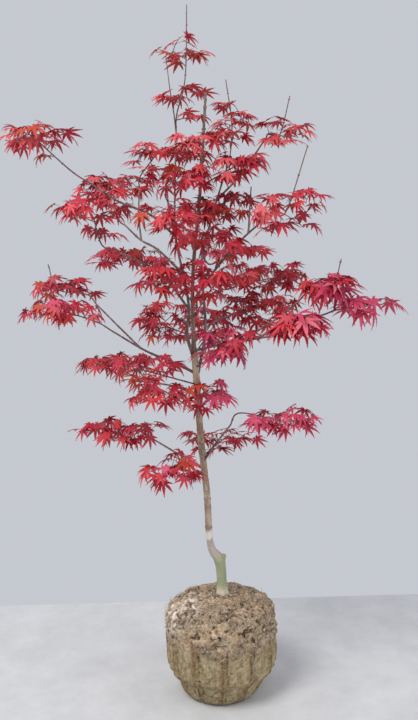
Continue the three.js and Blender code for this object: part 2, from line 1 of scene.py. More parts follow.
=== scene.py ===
"""A young grafted Japanese maple with red leaves, on its root ball.

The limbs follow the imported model's own paths, with bark relief, nodes and buds. Each
mass of leaves is grown again inside its space by the model's rule: towards places spread
through the space, each reached from the nearest node grown so far, here by fine twigs
that carry opposite pairs of leaves. Lengths are in millimetres until a mesh is made.
"""
import math
from collections import namedtuple

import bpy
import numpy as np
from mathutils import Matrix, Vector, noise


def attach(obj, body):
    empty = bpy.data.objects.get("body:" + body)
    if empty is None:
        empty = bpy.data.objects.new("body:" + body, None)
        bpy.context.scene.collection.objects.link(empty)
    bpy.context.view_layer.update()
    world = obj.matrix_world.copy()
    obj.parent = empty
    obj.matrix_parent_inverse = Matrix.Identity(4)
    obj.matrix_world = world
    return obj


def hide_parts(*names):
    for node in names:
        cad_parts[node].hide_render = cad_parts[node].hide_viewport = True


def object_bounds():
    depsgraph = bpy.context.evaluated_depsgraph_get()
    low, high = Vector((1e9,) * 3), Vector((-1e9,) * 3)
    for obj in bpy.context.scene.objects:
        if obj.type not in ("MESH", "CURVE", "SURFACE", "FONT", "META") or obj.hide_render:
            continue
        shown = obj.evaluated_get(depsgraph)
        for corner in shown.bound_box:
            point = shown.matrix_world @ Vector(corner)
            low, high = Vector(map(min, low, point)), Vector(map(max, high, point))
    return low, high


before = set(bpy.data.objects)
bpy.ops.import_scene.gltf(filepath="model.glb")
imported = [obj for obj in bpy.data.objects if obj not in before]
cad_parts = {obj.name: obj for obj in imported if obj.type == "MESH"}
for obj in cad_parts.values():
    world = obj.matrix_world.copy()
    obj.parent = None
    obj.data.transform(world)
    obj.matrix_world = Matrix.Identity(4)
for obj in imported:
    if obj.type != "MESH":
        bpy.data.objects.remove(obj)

CAD_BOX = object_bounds()
noise.seed_set(11)  # without a seed, noise_vector changes with the clock

# ------------------------------------------------------------------ sizes, as in the model

MM = 0.001
CLEARANCE = 0.3
BALL_CENTRE_X = 4
BALL_FOOT_RADIUS = 68
BALL_RADIUS = 114
BALL_LEDGE = (46, 62)
FLUTE_TOP = 126
FLUTES = 12
FLUTE_DEPTH = 5
SOIL_ROUGHNESS = 4
SOIL_TOP = 210
PALE_PATCH = (-80, -24, 192)
TRUNK_BASE_RADIUS = 10
TRUNK_STEM_RADIUS = 6.8
TRUNK_LEADER_RADIUS = 4.4
TRUNK_TIP_RADIUS = 2.4
ROOT_FLARE = 5
ROOT_FLARE_HEIGHT = 9
GRAFT_HEIGHT = 284
GRAFT_SWELLING = 1.6
FORK_HEIGHT = 705
TRUNK_TOP = 1225
STEM_X = 8
TRUNK_PATH = [
    (STEM_X, 0, SOIL_TOP + CLEARANCE), (7, 0, 262), (3, 0, 286), (-14, 1, 320), (-18, 3, 424),
    (-27, 2, 540), (-33, -2, 680), (-36, 0, 746), (-33, 3, 880), (-14, 0, 1040),
    (2, -2, TRUNK_TOP),
]
STUB_FOOT, STUB_TIP = np.array([7.0, 0, 262]), np.array([13.0, -3, 296])
STUB_RADII = (6.5, 5.5)
TRUNK_SIDES, TRUNK_RINGS = 28, 420
ROOT_SHOULDERS = 5
TOP_KNOBS = (2.5, 15, 27)  # below the cut tip
LOWEST_BUD = 640
BOUGH_SIDES, BOUGH_RING_GAP = 14, 2.2
STEM_SIDES = 8
NODE_SPACING = 9
BARE_TIP_FROM = 0.8
CAD_LEAF_LENGTH = 44  # sets how far a mass's stem runs on

# limbs: name, host, where on it, radii at both ends, then the bends and the tip
BOUGHS = [
    ("left_leader", "trunk", 704, 3.9, 1.7, (-48, -18, 758), (-43, -24, 818), (-57, -34, 906),
     (-76, -46, 1016)),
    ("top_shoot", "left_leader", 0.7, 2.4, 1.5, (-64, -22, 949), (-65, -2, 1013),
     (-58, 15, 1150)),
    ("upper_left_bough", "left_leader", 0.68, 2.6, 1.6, (-101, 0, 927), (-137, 35, 948),
     (-169, 65, 978)),
    ("left_side_shoot", "upper_left_bough", 0.66, 1.9, 1.4, (-140, 44, 1000), (-137, 50, 1052)),
    ("far_left_bough", "left_leader", 0.86, 2.4, 1.6, (-109, -75, 992), (-164, -110, 1016),
     (-208, -130, 1046)),
    ("mid_left_bough", "left_leader", 0.47, 2.5, 1.6, (-95, -60, 882), (-176, -120, 928)),
    ("left_bough", "trunk", 678, 3.0, 1.7, (-78, -12, 703), (-132, -25, 730), (-193, -45, 772)),
    ("left_back_bough", "left_bough", 0.72, 2.0, 1.5, (-190, 0, 782), (-230, 25, 820)),
    ("back_left_bough", "trunk", 842, 2.4, 1.5, (-66, 60, 862), (-104, 100, 886)),
    ("low_back_left_bough", "trunk", 632, 2.6, 1.6, (-77, 70, 640), (-136, 120, 644)),
    ("low_left_bough", "trunk", 478, 2.6, 1.6, (-58, 30, 493), (-141, 80, 533)),
    ("low_right_bough", "trunk", 494, 2.8, 1.7, (-3, -12, 527), (32, -38, 576)),
    ("right_bough", "trunk", 724, 3.0, 1.7, (13, -35, 738), (84, -100, 758), (205, -158, 802)),
    ("right_upper_bough", "right_bough", 0.56, 2.1, 1.5, (128, -140, 800), (160, -165, 830)),
    ("right_front_bough", "right_bough", 0.42, 2.1, 1.5, (96, -146, 762), (121, -190, 772)),
    ("right_leader", "trunk", 664, 3.6, 1.7, (-12, 26, 762), (-15, 52, 900), (6, 60, 984),
     (37, 55, 1078)),
    ("high_right_bough", "right_leader", 0.86, 2.2, 1.5, (70, 66, 1076), (122, 62, 1146)),
    ("upper_right_bough", "trunk", 822, 2.8, 1.6, (11, -25, 885), (58, -45, 937),
     (113, -62, 984)),
    ("spare_shoot", "upper_right_bough", 0.78, 1.7, 1.1, (80, -52, 1003), (83, -53, 1040)),
    ("mid_right_bough", "right_leader", 0.26, 2.2, 1.5, (23, 60, 784), (58, 92, 789)),
    ("back_right_bough", "right_leader", 0.45, 2.2, 1.5, (25, 92, 842), (74, 140, 850)),
    ("back_bough", "right_leader", 0.53, 2.1, 1.5, (0, 92, 895), (26, 125, 902)),
]

INSIDE = 1.28  # an inner mass also fills the gaps round its space
# a mass: its host, the middle and half sizes of its space, the broad leaves that it has in the
# model and its palette; then, where it has them, its height on the trunk, the end of its bare
# tip, the way that its stem sets out, and how much denser, wider and bigger its leaves are
Space = namedtuple("Space", "name host middle half leaves tint at tip away denser spread bigger",
                   defaults=(None, None, None, 1.0, 1.06, 1.0))
MASSES = [
    Space("top_leaves", "top_shoot", (-37, 18, 1259), (63, 56, 97), 10, "coral",
          tip=(-30, 20, 1394), denser=0.8),
    Space("leader_leaves", "left_leader", (-47, -64, 1055), (58, 56, 46), 6, "crimson",
          denser=1.3, spread=INSIDE),
    Space("side_shoot_leaves", "left_side_shoot", (-110, 60, 1108), (60, 56, 44), 6, "coral",
          denser=1.2, spread=INSIDE),
    Space("upper_left_leaves", "upper_left_bough", (-196, 95, 1050), (93, 66, 53), 10, "crimson",
          denser=1.35, spread=0.94),
    Space("far_left_leaves", "far_left_bough", (-302, -158, 1126), (72, 60, 42), 7, "coral"),
    Space("mid_left_leaves", "mid_left_bough", (-206, -152, 989), (65, 56, 42), 6, "crimson",
          denser=1.25, spread=INSIDE),
    Space("left_leaves", "left_bough", (-280, -84, 816), (76, 60, 44), 8, "crimson"),
    Space("left_back_leaves", "left_back_bough", (-316, 62, 853), (87, 64, 42), 7, "crimson",
          tip=(-332, 60, 905)),
    Space("back_left_leaves", "back_left_bough", (-167, 150, 912), (96, 70, 44), 8, "dark",
          denser=1.3),
    Space("low_back_left_leaves", "low_back_left_bough", (-213, 180, 675), (85, 66, 49), 8,
          "dark", denser=1.3),
    Space("low_left_leaves", "low_left_bough", (-194, 112, 539), (107, 64, 47), 8, "dark",
          denser=1.4),
    Space("low_right_leaves", "low_right_bough", (135, -68, 589), (77, 66, 50), 8, "rose",
          bigger=1.1),
    Space("right_leaves", "right_bough", (284, -170, 816), (68, 60, 43), 4, "rose", denser=0.75,
          bigger=1.18),
    Space("right_upper_leaves", "right_upper_bough", (214, -188, 849), (60, 56, 42), 7, "rose",
          tip=(231, -185, 900), bigger=1.2),
    Space("right_front_leaves", "right_front_bough", (149, -240, 796), (60, 56, 48), 7, "rose",
          bigger=1.3),
    Space("upright_leaves", "right_leader", (53, 50, 1173), (58, 56, 58), 7, "coral",
          tip=(43, 52, 1259)),
    Space("high_right_leaves", "high_right_bough", (150, 60, 1152), (79, 58, 50), 6, "coral",
          tip=(171, 60, 1226)),
    Space("upper_right_leaves", "upper_right_bough", (147, -72, 992), (80, 60, 65), 9, "crimson",
          tip=(190, -66, 1112)),
    Space("mid_right_leaves", "mid_right_bough", (105, 132, 800), (82, 62, 52), 8, "dark",
          denser=2.0, spread=INSIDE),
    Space("back_right_leaves", "back_right_bough", (142, 196, 859), (74, 64, 54), 9, "crimson",
          denser=1.25, spread=INSIDE),
    Space("back_leaves", "back_bough", (60, 168, 915), (71, 60, 44), 6, "dark", denser=1.2,
          spread=INSIDE),
    Space("inner_left_leaves", "trunk", (-76, -112, 877), (67, 56, 45), 7, "crimson", 812,
          away=(0.15, -1, 0.1), denser=1.2, spread=INSIDE),
    Space("lower_left_leaves", "trunk", (-101, 88, 770), (70, 56, 57), 8, "dark", 752, denser=1.4,
          spread=INSIDE),
    Space("front_left_leaves", "trunk", (-124, -104, 700), (60, 56, 43), 6, "dark", 655,
          spread=INSIDE),
    Space("low_front_left_leaves", "trunk", (-94, -92, 659), (72, 56, 42), 6, "crimson", 596,
          spread=INSIDE),
    Space("foot_left_leaves", "trunk", (-80, -72, 502), (63, 56, 55), 8, "crimson", 466),
    Space("foot_back_leaves", "trunk", (17, 88, 518), (76, 56, 42), 5, "crimson", 505, denser=1.4,
          spread=INSIDE),
    Space("foot_right_leaves", "trunk", (-6, -62, 634), (58, 56, 42), 5, "rose", 606,
          spread=INSIDE),
    Space("front_right_leaves", "trunk", (28, -112, 742), (58, 56, 45), 6, "rose", 690,
          denser=1.2, spread=INSIDE, bigger=1.08),
    Space("back_middle_leaves", "trunk", (7, 128, 762), (65, 56, 52), 6, "dark", 716, denser=1.6,
          spread=INSIDE),
    Space("front_leaves", "trunk", (11, -98, 864), (60, 56, 45), 6, "coral", 790, denser=1.25,
          spread=INSIDE),
    Space("front_upper_leaves", "trunk", (-15, -84, 942), (63, 56, 44), 6, "crimson", 918,
          denser=1.35, spread=INSIDE),
    Space("front_high_left_leaves", "trunk", (-64, -138, 976), (58, 56, 42), 6, "crimson", 952,
          spread=INSIDE),
    Space("collar_leaves", "trunk", (16, -20, 1008), (77, 56, 45), 7, "crimson", 990, denser=1.5,
          spread=INSIDE),
    Space("tip_leaves", "trunk", (-12, -44, 1114), (60, 56, 47), 6, "coral", 1075, denser=1.4,
          spread=INSIDE),
    Space("high_middle_leaves", "trunk", (55, -48, 1080), (62, 56, 43), 6, "crimson", 1048,
          denser=1.35, spread=INSIDE),
]

# ------------------------------------------------------------------ leaves and twigs

LEAF = 30.0  # petiole to the tip of the middle lobe, life size
LEAVES_PER_SPRAY = 5.3  # the leaves that stand for one broad leaf of the model
# heights between which the top shoot's leaves spread; the rest of the shoot is bare
TOP_TIERS = [(1296, 1344), (1206, 1242), (1296, 1344), (1206, 1242), (1156, 1186)]
BARE_SHOOT = [(-57, 16, 1136), (-61, 16, 1188), (-66, 14, 1224), (-69, 12, 1252),
              (-73, 8, 1297)]
LOBES = [(-116, 0.36), (-77, 0.68), (-38, 0.92), (0, 1.0), (38, 0.92), (77, 0.68),
         (116, 0.36)]
LOBE_WIDTH = 0.096  # half the width of the middle lobe, as a share of the leaf's length
NOTCH = 0.29
# along a lobe past the notch: share of its length, share of its width
LOBE_EDGE = [(0.40, 1.02), (0.49, 1.16), (0.52, 0.88), (0.62, 1.0), (0.65, 0.70),
             (0.76, 0.74), (0.79, 0.45), (0.90, 0.36)]
LEAF_SHAPES = 10
LEAF_MIDDLE = 0.42  # how far from its joint a leaf's middle lies, in lengths
LEAF_GAP = 0.36  # between the middles of two leaves, in lengths
PETIOLE_RADII = np.array([0.62, 0.46, 0.42, 0.46, 0.55])
SPACE_EDGE, TIP_REACH = 1.04, 1.26  # how deep middles and tips may lie in their space
NEAR_LIMBS = 2.2  # the depth within which a mass looks out for limbs
LIMB_ROOM = 1.2  # between a leaf's tips and a limb
PAIR_SPACING = 22  # between pairs of leaves down a twig
EDGE_ROOM = 6  # how far leaves may reach past the model's box
MOST_LEAVES = 6000

# ------------------------------------------------------------------ the ball's finer forms

BALL_SIDES, BALL_RINGS = 340, 200
PROFILE_STEPS = 400
CRUMBS, HEAPED_CRUMBS = 900, 150
WALL_ROOTS, LOOSE_ROOTS = 480, 230
FLAT_NEAR_STEM = 34  # radius round the stem where crumbs lie on the plain surface

# ------------------------------------------------------------------ colours

# base colours of the leaves, linear
TINTS = {
    "deep": (0.38, 0.015, 0.030),
    "crimson": (0.49, 0.023, 0.048),
    "red": (0.57, 0.034, 0.044),
    "coral": (0.60, 0.075, 0.086),
    "pink": (0.63, 0.115, 0.155),
    "rose": (0.55, 0.045, 0.108),
    "magenta": (0.47, 0.032, 0.108),
    "bronze": (0.46, 0.050, 0.025),
}
TINT_NAMES = list(TINTS)
PALETTES = {
    "crimson": dict(crimson=0.38, deep=0.16, red=0.26, coral=0.07, bronze=0.09, rose=0.04),
    "dark": dict(deep=0.22, crimson=0.42, red=0.23, bronze=0.08, rose=0.05),
    "coral": dict(coral=0.32, pink=0.14, red=0.30, crimson=0.18, bronze=0.06),
    "rose": dict(rose=0.40, magenta=0.22, crimson=0.24, pink=0.08, red=0.06),
}

UP = np.array([0.0, 0.0, 1.0])


def mix(a, b, t):
    return a + (b - a) * t


def unit(v):
    return v / max(1e-9, math.sqrt(float(v @ v)))


def smoothstep(x, low, high):
    t = np.clip((np.asarray(x, float) - low) / (high - low), 0, 1)
    return t * t * (3 - 2 * t)


def turned(v, axis, angle):
    """v turned about a unit axis."""
    c, s = math.cos(angle), math.sin(angle)
    return v * c + np.cross(axis, v) * s + axis * float(axis @ v) * (1 - c)


DRAW_TIMES, DRAW_MOST = 16807, 2147483647  # a Lehmer generator, the same as the model's


def seeded_draw(seed):
    state = [seed * 7919 + 17]

    def draw(low=0.0, high=1.0):
        state[0] = (state[0] * DRAW_TIMES) % DRAW_MOST
        return low + (high - low) * state[0] / DRAW_MOST

    for _ in range(5):
        draw()
    return draw


def add_object(name, data):
    made = bpy.data.objects.new(name, data)
    bpy.context.scene.collection.objects.link(made)
    return made


def mark_points(mesh, name, values):
    layer = mesh.attributes.new(name, "FLOAT", "POINT")
    layer.data.foreach_set("value", np.asarray(values, np.float32))


class Curve:
    """A smooth curve through points, the same as the model's."""

    def __init__(self, points):
        self.points = np.array(points, float)

    def at(self, shares):
        p = self.points
        n = len(p)
        place = np.clip(np.atleast_1d(np.asarray(shares, float)), 0, 1) * (n - 1)
        i = np.minimum(place.astype(int), n - 2)
        w = (place - i)[:, None]
        x1, x2 = p[i], p[i + 1]
        x0 = np.where((i > 0)[:, None], p[np.maximum(i - 1, 0)], 2 * p[0] - p[1])
        x3 = np.where((i + 2 < n)[:, None], p[np.minimum(i + 2, n - 1)], 2 * p[-1] - p[-2])
        t0, t1 = 0.5 * (x2 - x0), 0.5 * (x3 - x1)
        c2 = -3 * x1 + 3 * x2 - 2 * t0 - t1
        c3 = 2 * x1 - 2 * x2 + t0 + t1
        return x1 + t0 * w + c2 * w**2 + c3 * w**3

    def heading(self, shares):
        t = np.atleast_1d(np.asarray(shares, float))
        low, high = np.clip(t - 0.0001, 0, 1), np.clip(t + 0.0001, 0, 1)
        d = self.at(high) - self.at(low)
        return d / np.linalg.norm(d, axis=1)[:, None]

    def length(self):
        p = self.at(np.linspace(0, 1, 80))
        return float(np.linalg.norm(np.diff(p, axis=0), axis=1).sum())


class Shape:
    """Vertices and faces gathered for one joined mesh."""

    def __init__(self):
        self.verts, self.marks = [], []
        self.faces = {4: [], 3: []}  # quads and triangles
        self.slots = {4: [], 3: []}
        self.count = 0

    def add(self, verts, quads=None, tris=None, slot=0, mark=0.0):
        for corners, faces in ((4, quads), (3, tris)):
            if faces is not None:
                self.faces[corners].append(np.asarray(faces) + self.count)
                self.slots[corners].append(np.full(len(faces), slot))
        self.verts.append(np.asarray(verts, float))
        self.marks.append(np.broadcast_to(np.asarray(mark, float), len(verts)))
        self.count += len(verts)

    def build(self, name, materials, smooth=True, marks=False):
        verts = np.concatenate(self.verts) * MM
        quads, tris = (np.concatenate([np.zeros((0, n), int), *self.faces[n]]) for n in (4, 3))
        slots = np.concatenate(self.slots[4] + self.slots[3])
        mesh = bpy.data.meshes.new(name)
        mesh.vertices.add(len(verts))
        mesh.vertices.foreach_set("co", verts.astype(np.float32).ravel())
        loops = np.concatenate([quads.ravel(), tris.ravel()]).astype(np.int32)
        mesh.loops.add(len(loops))
        mesh.loops.foreach_set("vertex_index", loops)
        starts = np.concatenate([np.arange(len(quads)) * 4,
                                 len(quads) * 4 + np.arange(len(tris)) * 3])
        mesh.polygons.add(len(quads) + len(tris))
        mesh.polygons.foreach_set("loop_start", starts.astype(np.int32))
        mesh.polygons.foreach_set("material_index", slots.astype(np.int32))
        mesh.polygons.foreach_set("use_smooth", np.full(len(slots), smooth))
        mesh.update(calc_edges=True)
        mesh.validate()
        if marks:
            mark_points(mesh, "mark", np.concatenate(self.marks))
        for material in materials:
            mesh.materials.append(material)
        return add_object(name, mesh)


def ring_frames(curve, shares, first=None):
    """Places, headings and two cross directions, carried along without twisting."""
    points = curve.at(shares)
    headings = curve.heading(shares)
    if first is not None:
        headings[0] = first
    normal = np.array([0.36, 0.93, 0.08])
    normals = []
    for d in headings:
        normal = unit(normal - d * float(normal @ d))
        normals.append(normal)
    normals = np.array(normals)
    return points, headings, normals, np.cross(headings, normals)


def straight_frames(points, heading, side):
    times = (len(points), 1)
    return (points, np.tile(heading, times), np.tile(side, times),
            np.tile(np.cross(heading, side), times))


def wall_quads(rings, sides):
    """The quads between rings that have as many vertices each."""
    i, j = np.meshgrid(np.arange(rings - 1), np.arange(sides), indexing="ij")
    k = (j + 1) % sides
    return np.stack([i * sides + j, i * sides + k, (i + 1) * sides + k,
                     (i + 1) * sides + j], -1).reshape(-1, 4)


def tube(shape, frames, radius, sides, slot=0, mark=0.0, round_tip=True):
    """A closed tube: radius is one number, one a ring, or one for each ring and side."""
    points, headings, normals, across = frames
    steps = len(points)
    radius = np.asarray(radius, float)
    if radius.ndim == 1:
        radius = radius[:, None]
    radius = np.broadcast_to(radius, (steps, sides))
    angle = 2 * np.pi * np.arange(sides) / sides
    out = (normals[:, None] * np.cos(angle)[None, :, None]
           + across[:, None] * np.sin(angle)[None, :, None])
    verts = (points[:, None] + out * radius[:, :, None]).reshape(-1, 3)
    lift = float(radius[-1].mean()) * (0.9 if round_tip else 0.0)
    ends = np.array([points[0], points[-1] + headings[-1] * lift])
    verts = np.concatenate([verts, ends])
    a = np.arange(sides)
    b = (a + 1) % sides
    last = (steps - 1) * sides
    foot, top = steps * sides, steps * sides + 1
    tris = np.concatenate([np.stack([np.full(sides, foot), b, a], -1),
                           np.stack([np.full(sides, top), last + a, last + b], -1)])
    if np.ndim(mark) == 1:
        mark = np.concatenate([np.repeat(mark, sides), [mark[0], mark[-1]]])
    shape.add(verts, wall_quads(steps, sides), tris, slot, mark)


def bud(shape, base, heading, length, width):
    """A small pointed bud."""
    points = base + np.outer(np.array([-0.1, 0.15, 0.45, 0.75, 0.97]) * length, heading)
    side = unit(np.cross(heading, [0.31, 0.22, 0.92]))
    tube(shape, straight_frames(points, heading, side),
         np.array([0.6, 0.95, 1.0, 0.62, 0.12]) * width, 5)


def bud_pair(shape, curve, place, across, turn, radius, out_by, ahead_by, lean, draw, lengths,
             widths):
    """Two buds on opposite sides of a limb, at a share of its curve."""
    p, d = curve.at(place)[0], curve.heading(place)[0]
    start = unit(np.cross(d, across))
    for way in (0, math.pi):
        out = turned(start, d, way + turn)
        bud(shape, p + out * radius * out_by + d * ahead_by, unit(out * lean + d),
            draw(*lengths), draw(*widths))


# ------------------------------------------------------------------ materials

def new_material(name, roughness=0.5, specular=0.5):
    material = bpy.data.materials.new(name)
    material.use_nodes = True
    shader = material.node_tree.nodes["Principled BSDF"]
    shader.inputs["Roughness"].default_value = roughness
    shader.inputs["Specular IOR Level"].default_value = specular
    return material, material.node_tree, shader


def node(tree, kind, **values):
    made = tree.nodes.new(kind)
    for key, value in values.items():
        if hasattr(made, key):
            setattr(made, key, value)
        else:
            made.inputs[key.replace("_", " ")].default_value = value
    return made


def noise_at(tree, scale, detail=4.0, rough=0.6, stretch=None):
    """Noise in the object's own coordinates, in metres."""
    place = node(tree, "ShaderNodeTexCoord").outputs["Object"]
    if stretch:
        mapping = node(tree, "ShaderNodeMapping", Scale=stretch)
        tree.links.new(place, mapping.inputs["Vector"])
        place = mapping.outputs["Vector"]
    made = node(tree, "ShaderNodeTexNoise", Scale=scale, Detail=detail, Roughness=rough)
    tree.links.new(place, made.inputs["Vector"])
    return made.outputs["Fac"]


def ramp(tree, source, stops):
    """Colours, or greys given as one number, at their places along the source's values."""
    made = tree.nodes.new("ShaderNodeValToRGB")
    elements = made.color_ramp.elements
    while len(elements) < len(stops):
        elements.new(0.5)
    for element, (place, colour) in zip(elements, stops):
        element.position = place
        element.color = (*(colour if isinstance(colour, tuple) else [colour] * 3), 1)
    tree.links.new(source, made.inputs["Fac"])
    return made.outputs["Color"]


def blend(tree, share, a, b, kind="MIX"):
    made = node(tree, "ShaderNodeMix", data_type="RGBA", blend_type=kind, clamp_factor=True)
    for value, socket in ((share, made.inputs[0]), (a, made.inputs[6]), (b, made.inputs[7])):
        if isinstance(value, (int, float)):
            socket.default_value = value
        elif isinstance(value, tuple):
            socket.default_value = (*value, 1)
        else:
            tree.links.new(value, socket)
    return made.outputs[2]


def bump(tree, shader, height, strength, distance):
    made = node(tree, "ShaderNodeBump", Strength=strength, Distance=distance)
    tree.links.new(height, made.inputs["Height"])
    tree.links.new(made.outputs["Normal"], shader.inputs["Normal"])


def attribute(tree, name):
    return node(tree, "ShaderNodeAttribute", attribute_name=name).outputs["Fac"]


def height_of(tree, low, high):
    """The object's height in metres, from 0 at low to 1 at high."""
    split = node(tree, "ShaderNodeSeparateXYZ")
    tree.links.new(node(tree, "ShaderNodeTexCoord").outputs["Object"], split.inputs[0])
    made = node(tree, "ShaderNodeMapRange", From_Min=low, From_Max=high)
    tree.links.new(split.outputs["Z"], made.inputs["Value"])
    return made.outputs["Result"]


def paint(material, colour):
    shader = material.node_tree.nodes["Principled BSDF"]
    material.node_tree.links.new(colour, shader.inputs["Base Color"])
    return material


def leaf_material(name, colour):
    material, tree, shader = new_material("leaf_" + name, 0.5, 0.42)
    shader.inputs["Base Color"].default_value = (*colour, 1)
    bump(tree, shader, noise_at(tree, 260, 2.0), 0.25, 0.0006)
    return material


def bark_material(name, dark, mid, pale, patch, scale=1.0):
    """Smooth young bark: streaks along the limb, pale patches and small lenticels."""
    material, tree, shader = new_material(name, 0.62, 0.35)
    streaks = noise_at(tree, 90 * scale, 5.0, 0.65, (1.0, 1.0, 0.35))
    colour = ramp(tree, streaks, [(0.30, dark), (0.50, mid), (0.72, pale)])
    patches = ramp(tree, noise_at(tree, 34 * scale, 3.0, 0.55), [(0.54, 0), (0.66, 1)])
    colour = blend(tree, patches, colour, patch)
    dots = ramp(tree, noise_at(tree, 420 * scale, 1.0, 0.5), [(0.62, 0), (0.70, 0.7)])
    colour = blend(tree, dots, colour, pale)
    bump(tree, shader, noise_at(tree, 380 * scale, 4.0, 0.7, (1, 1, 0.5)), 0.45, 0.0008)
    return paint(material, colour)


def trunk_material():
    """Tan bark above the graft, a cream callus band, the green rootstock below."""
    material = bark_material("stem_bark", (0.22, 0.155, 0.105), (0.43, 0.325, 0.225),
                             (0.60, 0.495, 0.37), (0.66, 0.59, 0.47))
    tree = material.node_tree
    bark = tree.nodes["Principled BSDF"].inputs["Base Color"].links[0].from_socket
    wander = blend(tree, 0.03, height_of(tree, 0.2, 1.2), noise_at(tree, 60, 3.0))
    green = blend(tree, noise_at(tree, 120, 4.0, 0.7, (1, 1, 0.5)),
                  (0.19, 0.220, 0.100), (0.46, 0.480, 0.32))
    foot = blend(tree, noise_at(tree, 150, 4.0, 0.7), (0.46, 0.38, 0.27), (0.76, 0.68, 0.55))
    high = blend(tree, noise_at(tree, 130, 4.0, 0.7, (1, 1, 0.4)), (0.09, 0.060, 0.048),
                 (0.25, 0.19, 0.145))
    stock = ramp(tree, wander, [(0.095, 1), (0.115, 0)])
    soiled = ramp(tree, wander, [(0.030, 1), (0.048, 0)])
    callus = ramp(tree, wander, [(0.137, 0), (0.145, 1), (0.155, 1), (0.163, 0)])
    union = ramp(tree, wander, [(0.138, 0.7), (0.146, 0)])
    rusty = ramp(tree, noise_at(tree, 46, 3.0, 0.6, (1, 1, 0.7)), [(0.46, 0), (0.56, 0.85)])
    leader = ramp(tree, wander, [(0.46, 0), (0.62, 1)])
    colour = blend(tree, rusty, bark, (0.30, 0.175, 0.12))
    colour = blend(tree, leader, colour, high)
    colour = blend(tree, union, colour, (0.47, 0.42, 0.38))
    colour = blend(tree, callus, colour, (0.74, 0.70, 0.62))
    colour = blend(tree, stock, colour, green)
    colour = blend(tree, attribute(tree, "mark"), colour, green)  # the stub
    colour = blend(tree, soiled, colour, foot)
    dusted = ramp(tree, wander, [(0.017, 0.9), (0.028, 0)])
    colour = blend(tree, dusted, colour, (0.38, 0.295, 0.20))
    return paint(material, colour)


def new_soil(name):
    material, tree, shader = new_material(name, 0.95, 0.2)
    bump(tree, shader, noise_at(tree, 600, 6.0, 0.75), 0.8, 0.0015)
    return material, tree


def soil_material(name, dark, mid, pale):
    material, tree = new_soil(name)
    return paint(material, ramp(tree, noise_at(tree, 170, 8.0, 0.75),
                                [(0.30, dark), (0.50, mid), (0.70, pale)]))


def ball_material():
    """Brown crumbly soil above, olive-brown pressed panels below, redder ribs; "mark"
    holds how deep each spot lies, from 0 in a crack to 1 on a crumb, and sets painted shade in the
    cracks, pits and grooves and painted light on the crumbs."""
    material, tree = new_soil("soil")
    grain = ramp(tree, noise_at(tree, 190, 8.0, 0.8),
                 [(0.30, (0.150, 0.104, 0.066)), (0.50, (0.33, 0.250, 0.163)),
                  (0.68, (0.62, 0.520, 0.390))])
    patches = ramp(tree, noise_at(tree, 24, 3.0, 0.6),
                   [(0.36, (0.62, 0.60, 0.60)), (0.50, (1.0, 0.98, 0.96)),
                    (0.64, (1.40, 1.32, 1.28))])
    grain = blend(tree, 1.0, grain, patches, "MULTIPLY")
    pressed = ramp(tree, noise_at(tree, 110, 7.0, 0.72, (1.0, 1.0, 0.5)),
                   [(0.30, (0.205, 0.152, 0.074)), (0.5, (0.385, 0.305, 0.175)),
                    (0.72, (0.60, 0.51, 0.33))])
    wander = blend(tree, 0.16, height_of(tree, 0.0, 0.21), noise_at(tree, 26, 3.0))
    above = ramp(tree, wander, [(0.52, 0), (0.62, 1)])
    colour = blend(tree, above, pressed, grain)
    ribs = attribute(tree, "rib")
    worn = ramp(tree, noise_at(tree, 75, 5.0, 0.7), [(0.36, 0.30), (0.60, 0.92)])
    colour = blend(tree, blend(tree, 1.0, ribs, worn, "MULTIPLY"), colour,
                   (0.255, 0.150, 0.074))
    # the soil's colour is dimmed towards the bottom of the ball
    foot_dimming = ramp(tree, wander, [(0.06, (0.55, 0.50, 0.45)), (0.16, 1)])
    colour = blend(tree, 1.0, colour, foot_dimming, "MULTIPLY")
    specks = ramp(tree, noise_at(tree, 430, 1.0, 0.5), [(0.64, 0), (0.71, 1)])
    speckled = blend(tree, above, (0.0, 0.0, 0.0), specks)
    colour = blend(tree, speckled, colour, (0.74, 0.64, 0.53))
    colour = blend(tree, attribute(tree, "pale"), colour, (0.93, 0.82, 0.70))
    # painted shade and light: the colour is multiplied by a ramp on how deep each spot lies, dark
    # in cracks, pits and grooves and above 1 on the crumbs
    shade = ramp(tree, attribute(tree, "mark"),
                 [(0.04, (0.12, 0.10, 0.09)), (0.26, (0.58, 0.56, 0.54)),
                  (0.55, (0.96, 0.95, 0.94)), (0.95, (1.30, 1.3, 1.28))])
    return paint(material, blend(tree, 1.0, colour, shade, "MULTIPLY"))


# ------------------------------------------------------------------ root ball

def ball_profile(steps):
    ledge_low, ledge_high = BALL_LEDGE
    corners = np.array([
        [0, 0], [BALL_FOOT_RADIUS, 0], [BALL_FOOT_RADIUS + 10, 8], [BALL_FOOT_RADIUS + 20, 26],
        [BALL_RADIUS - 17, ledge_low], [BALL_RADIUS - 2, ledge_high], [BALL_RADIUS, 84],
        [BALL_RADIUS, FLUTE_TOP - 2], [BALL_RADIUS + 1, FLUTE_TOP + 6], [BALL_RADIUS + 2, 160],
        [BALL_RADIUS - 2, 177], [BALL_RADIUS - 10, 189], [BALL_RADIUS - 28, 198],
        [BALL_RADIUS - 58, 205], [22, SOIL_TOP], [0, SOIL_TOP]], float)
    along = np.concatenate([[0], np.cumsum(np.linalg.norm(np.diff(corners, axis=0), axis=1))])
    places = np.linspace(0, along[-1], steps)
    return np.stack([np.interp(places, along, corners[:, k]) for k in (0, 1)], -1)


PROFILE = ball_profile(PROFILE_STEPS)


def facing(slope):
    """The parts outward and upward of the way out of a profile with this slope."""
    length = max(1e-6, math.hypot(*slope))
    return slope[1] / length, -slope[0] / length


def on_ball(angle, reach, height, z):
    """A place by its angle; the ball's wall stands a little to the side of its foot."""
    shift = BALL_CENTRE_X * float(smoothstep(z, 0, BALL_LEDGE[1]))
    return reach * math.cos(angle) + shift, reach * math.sin(angle), height


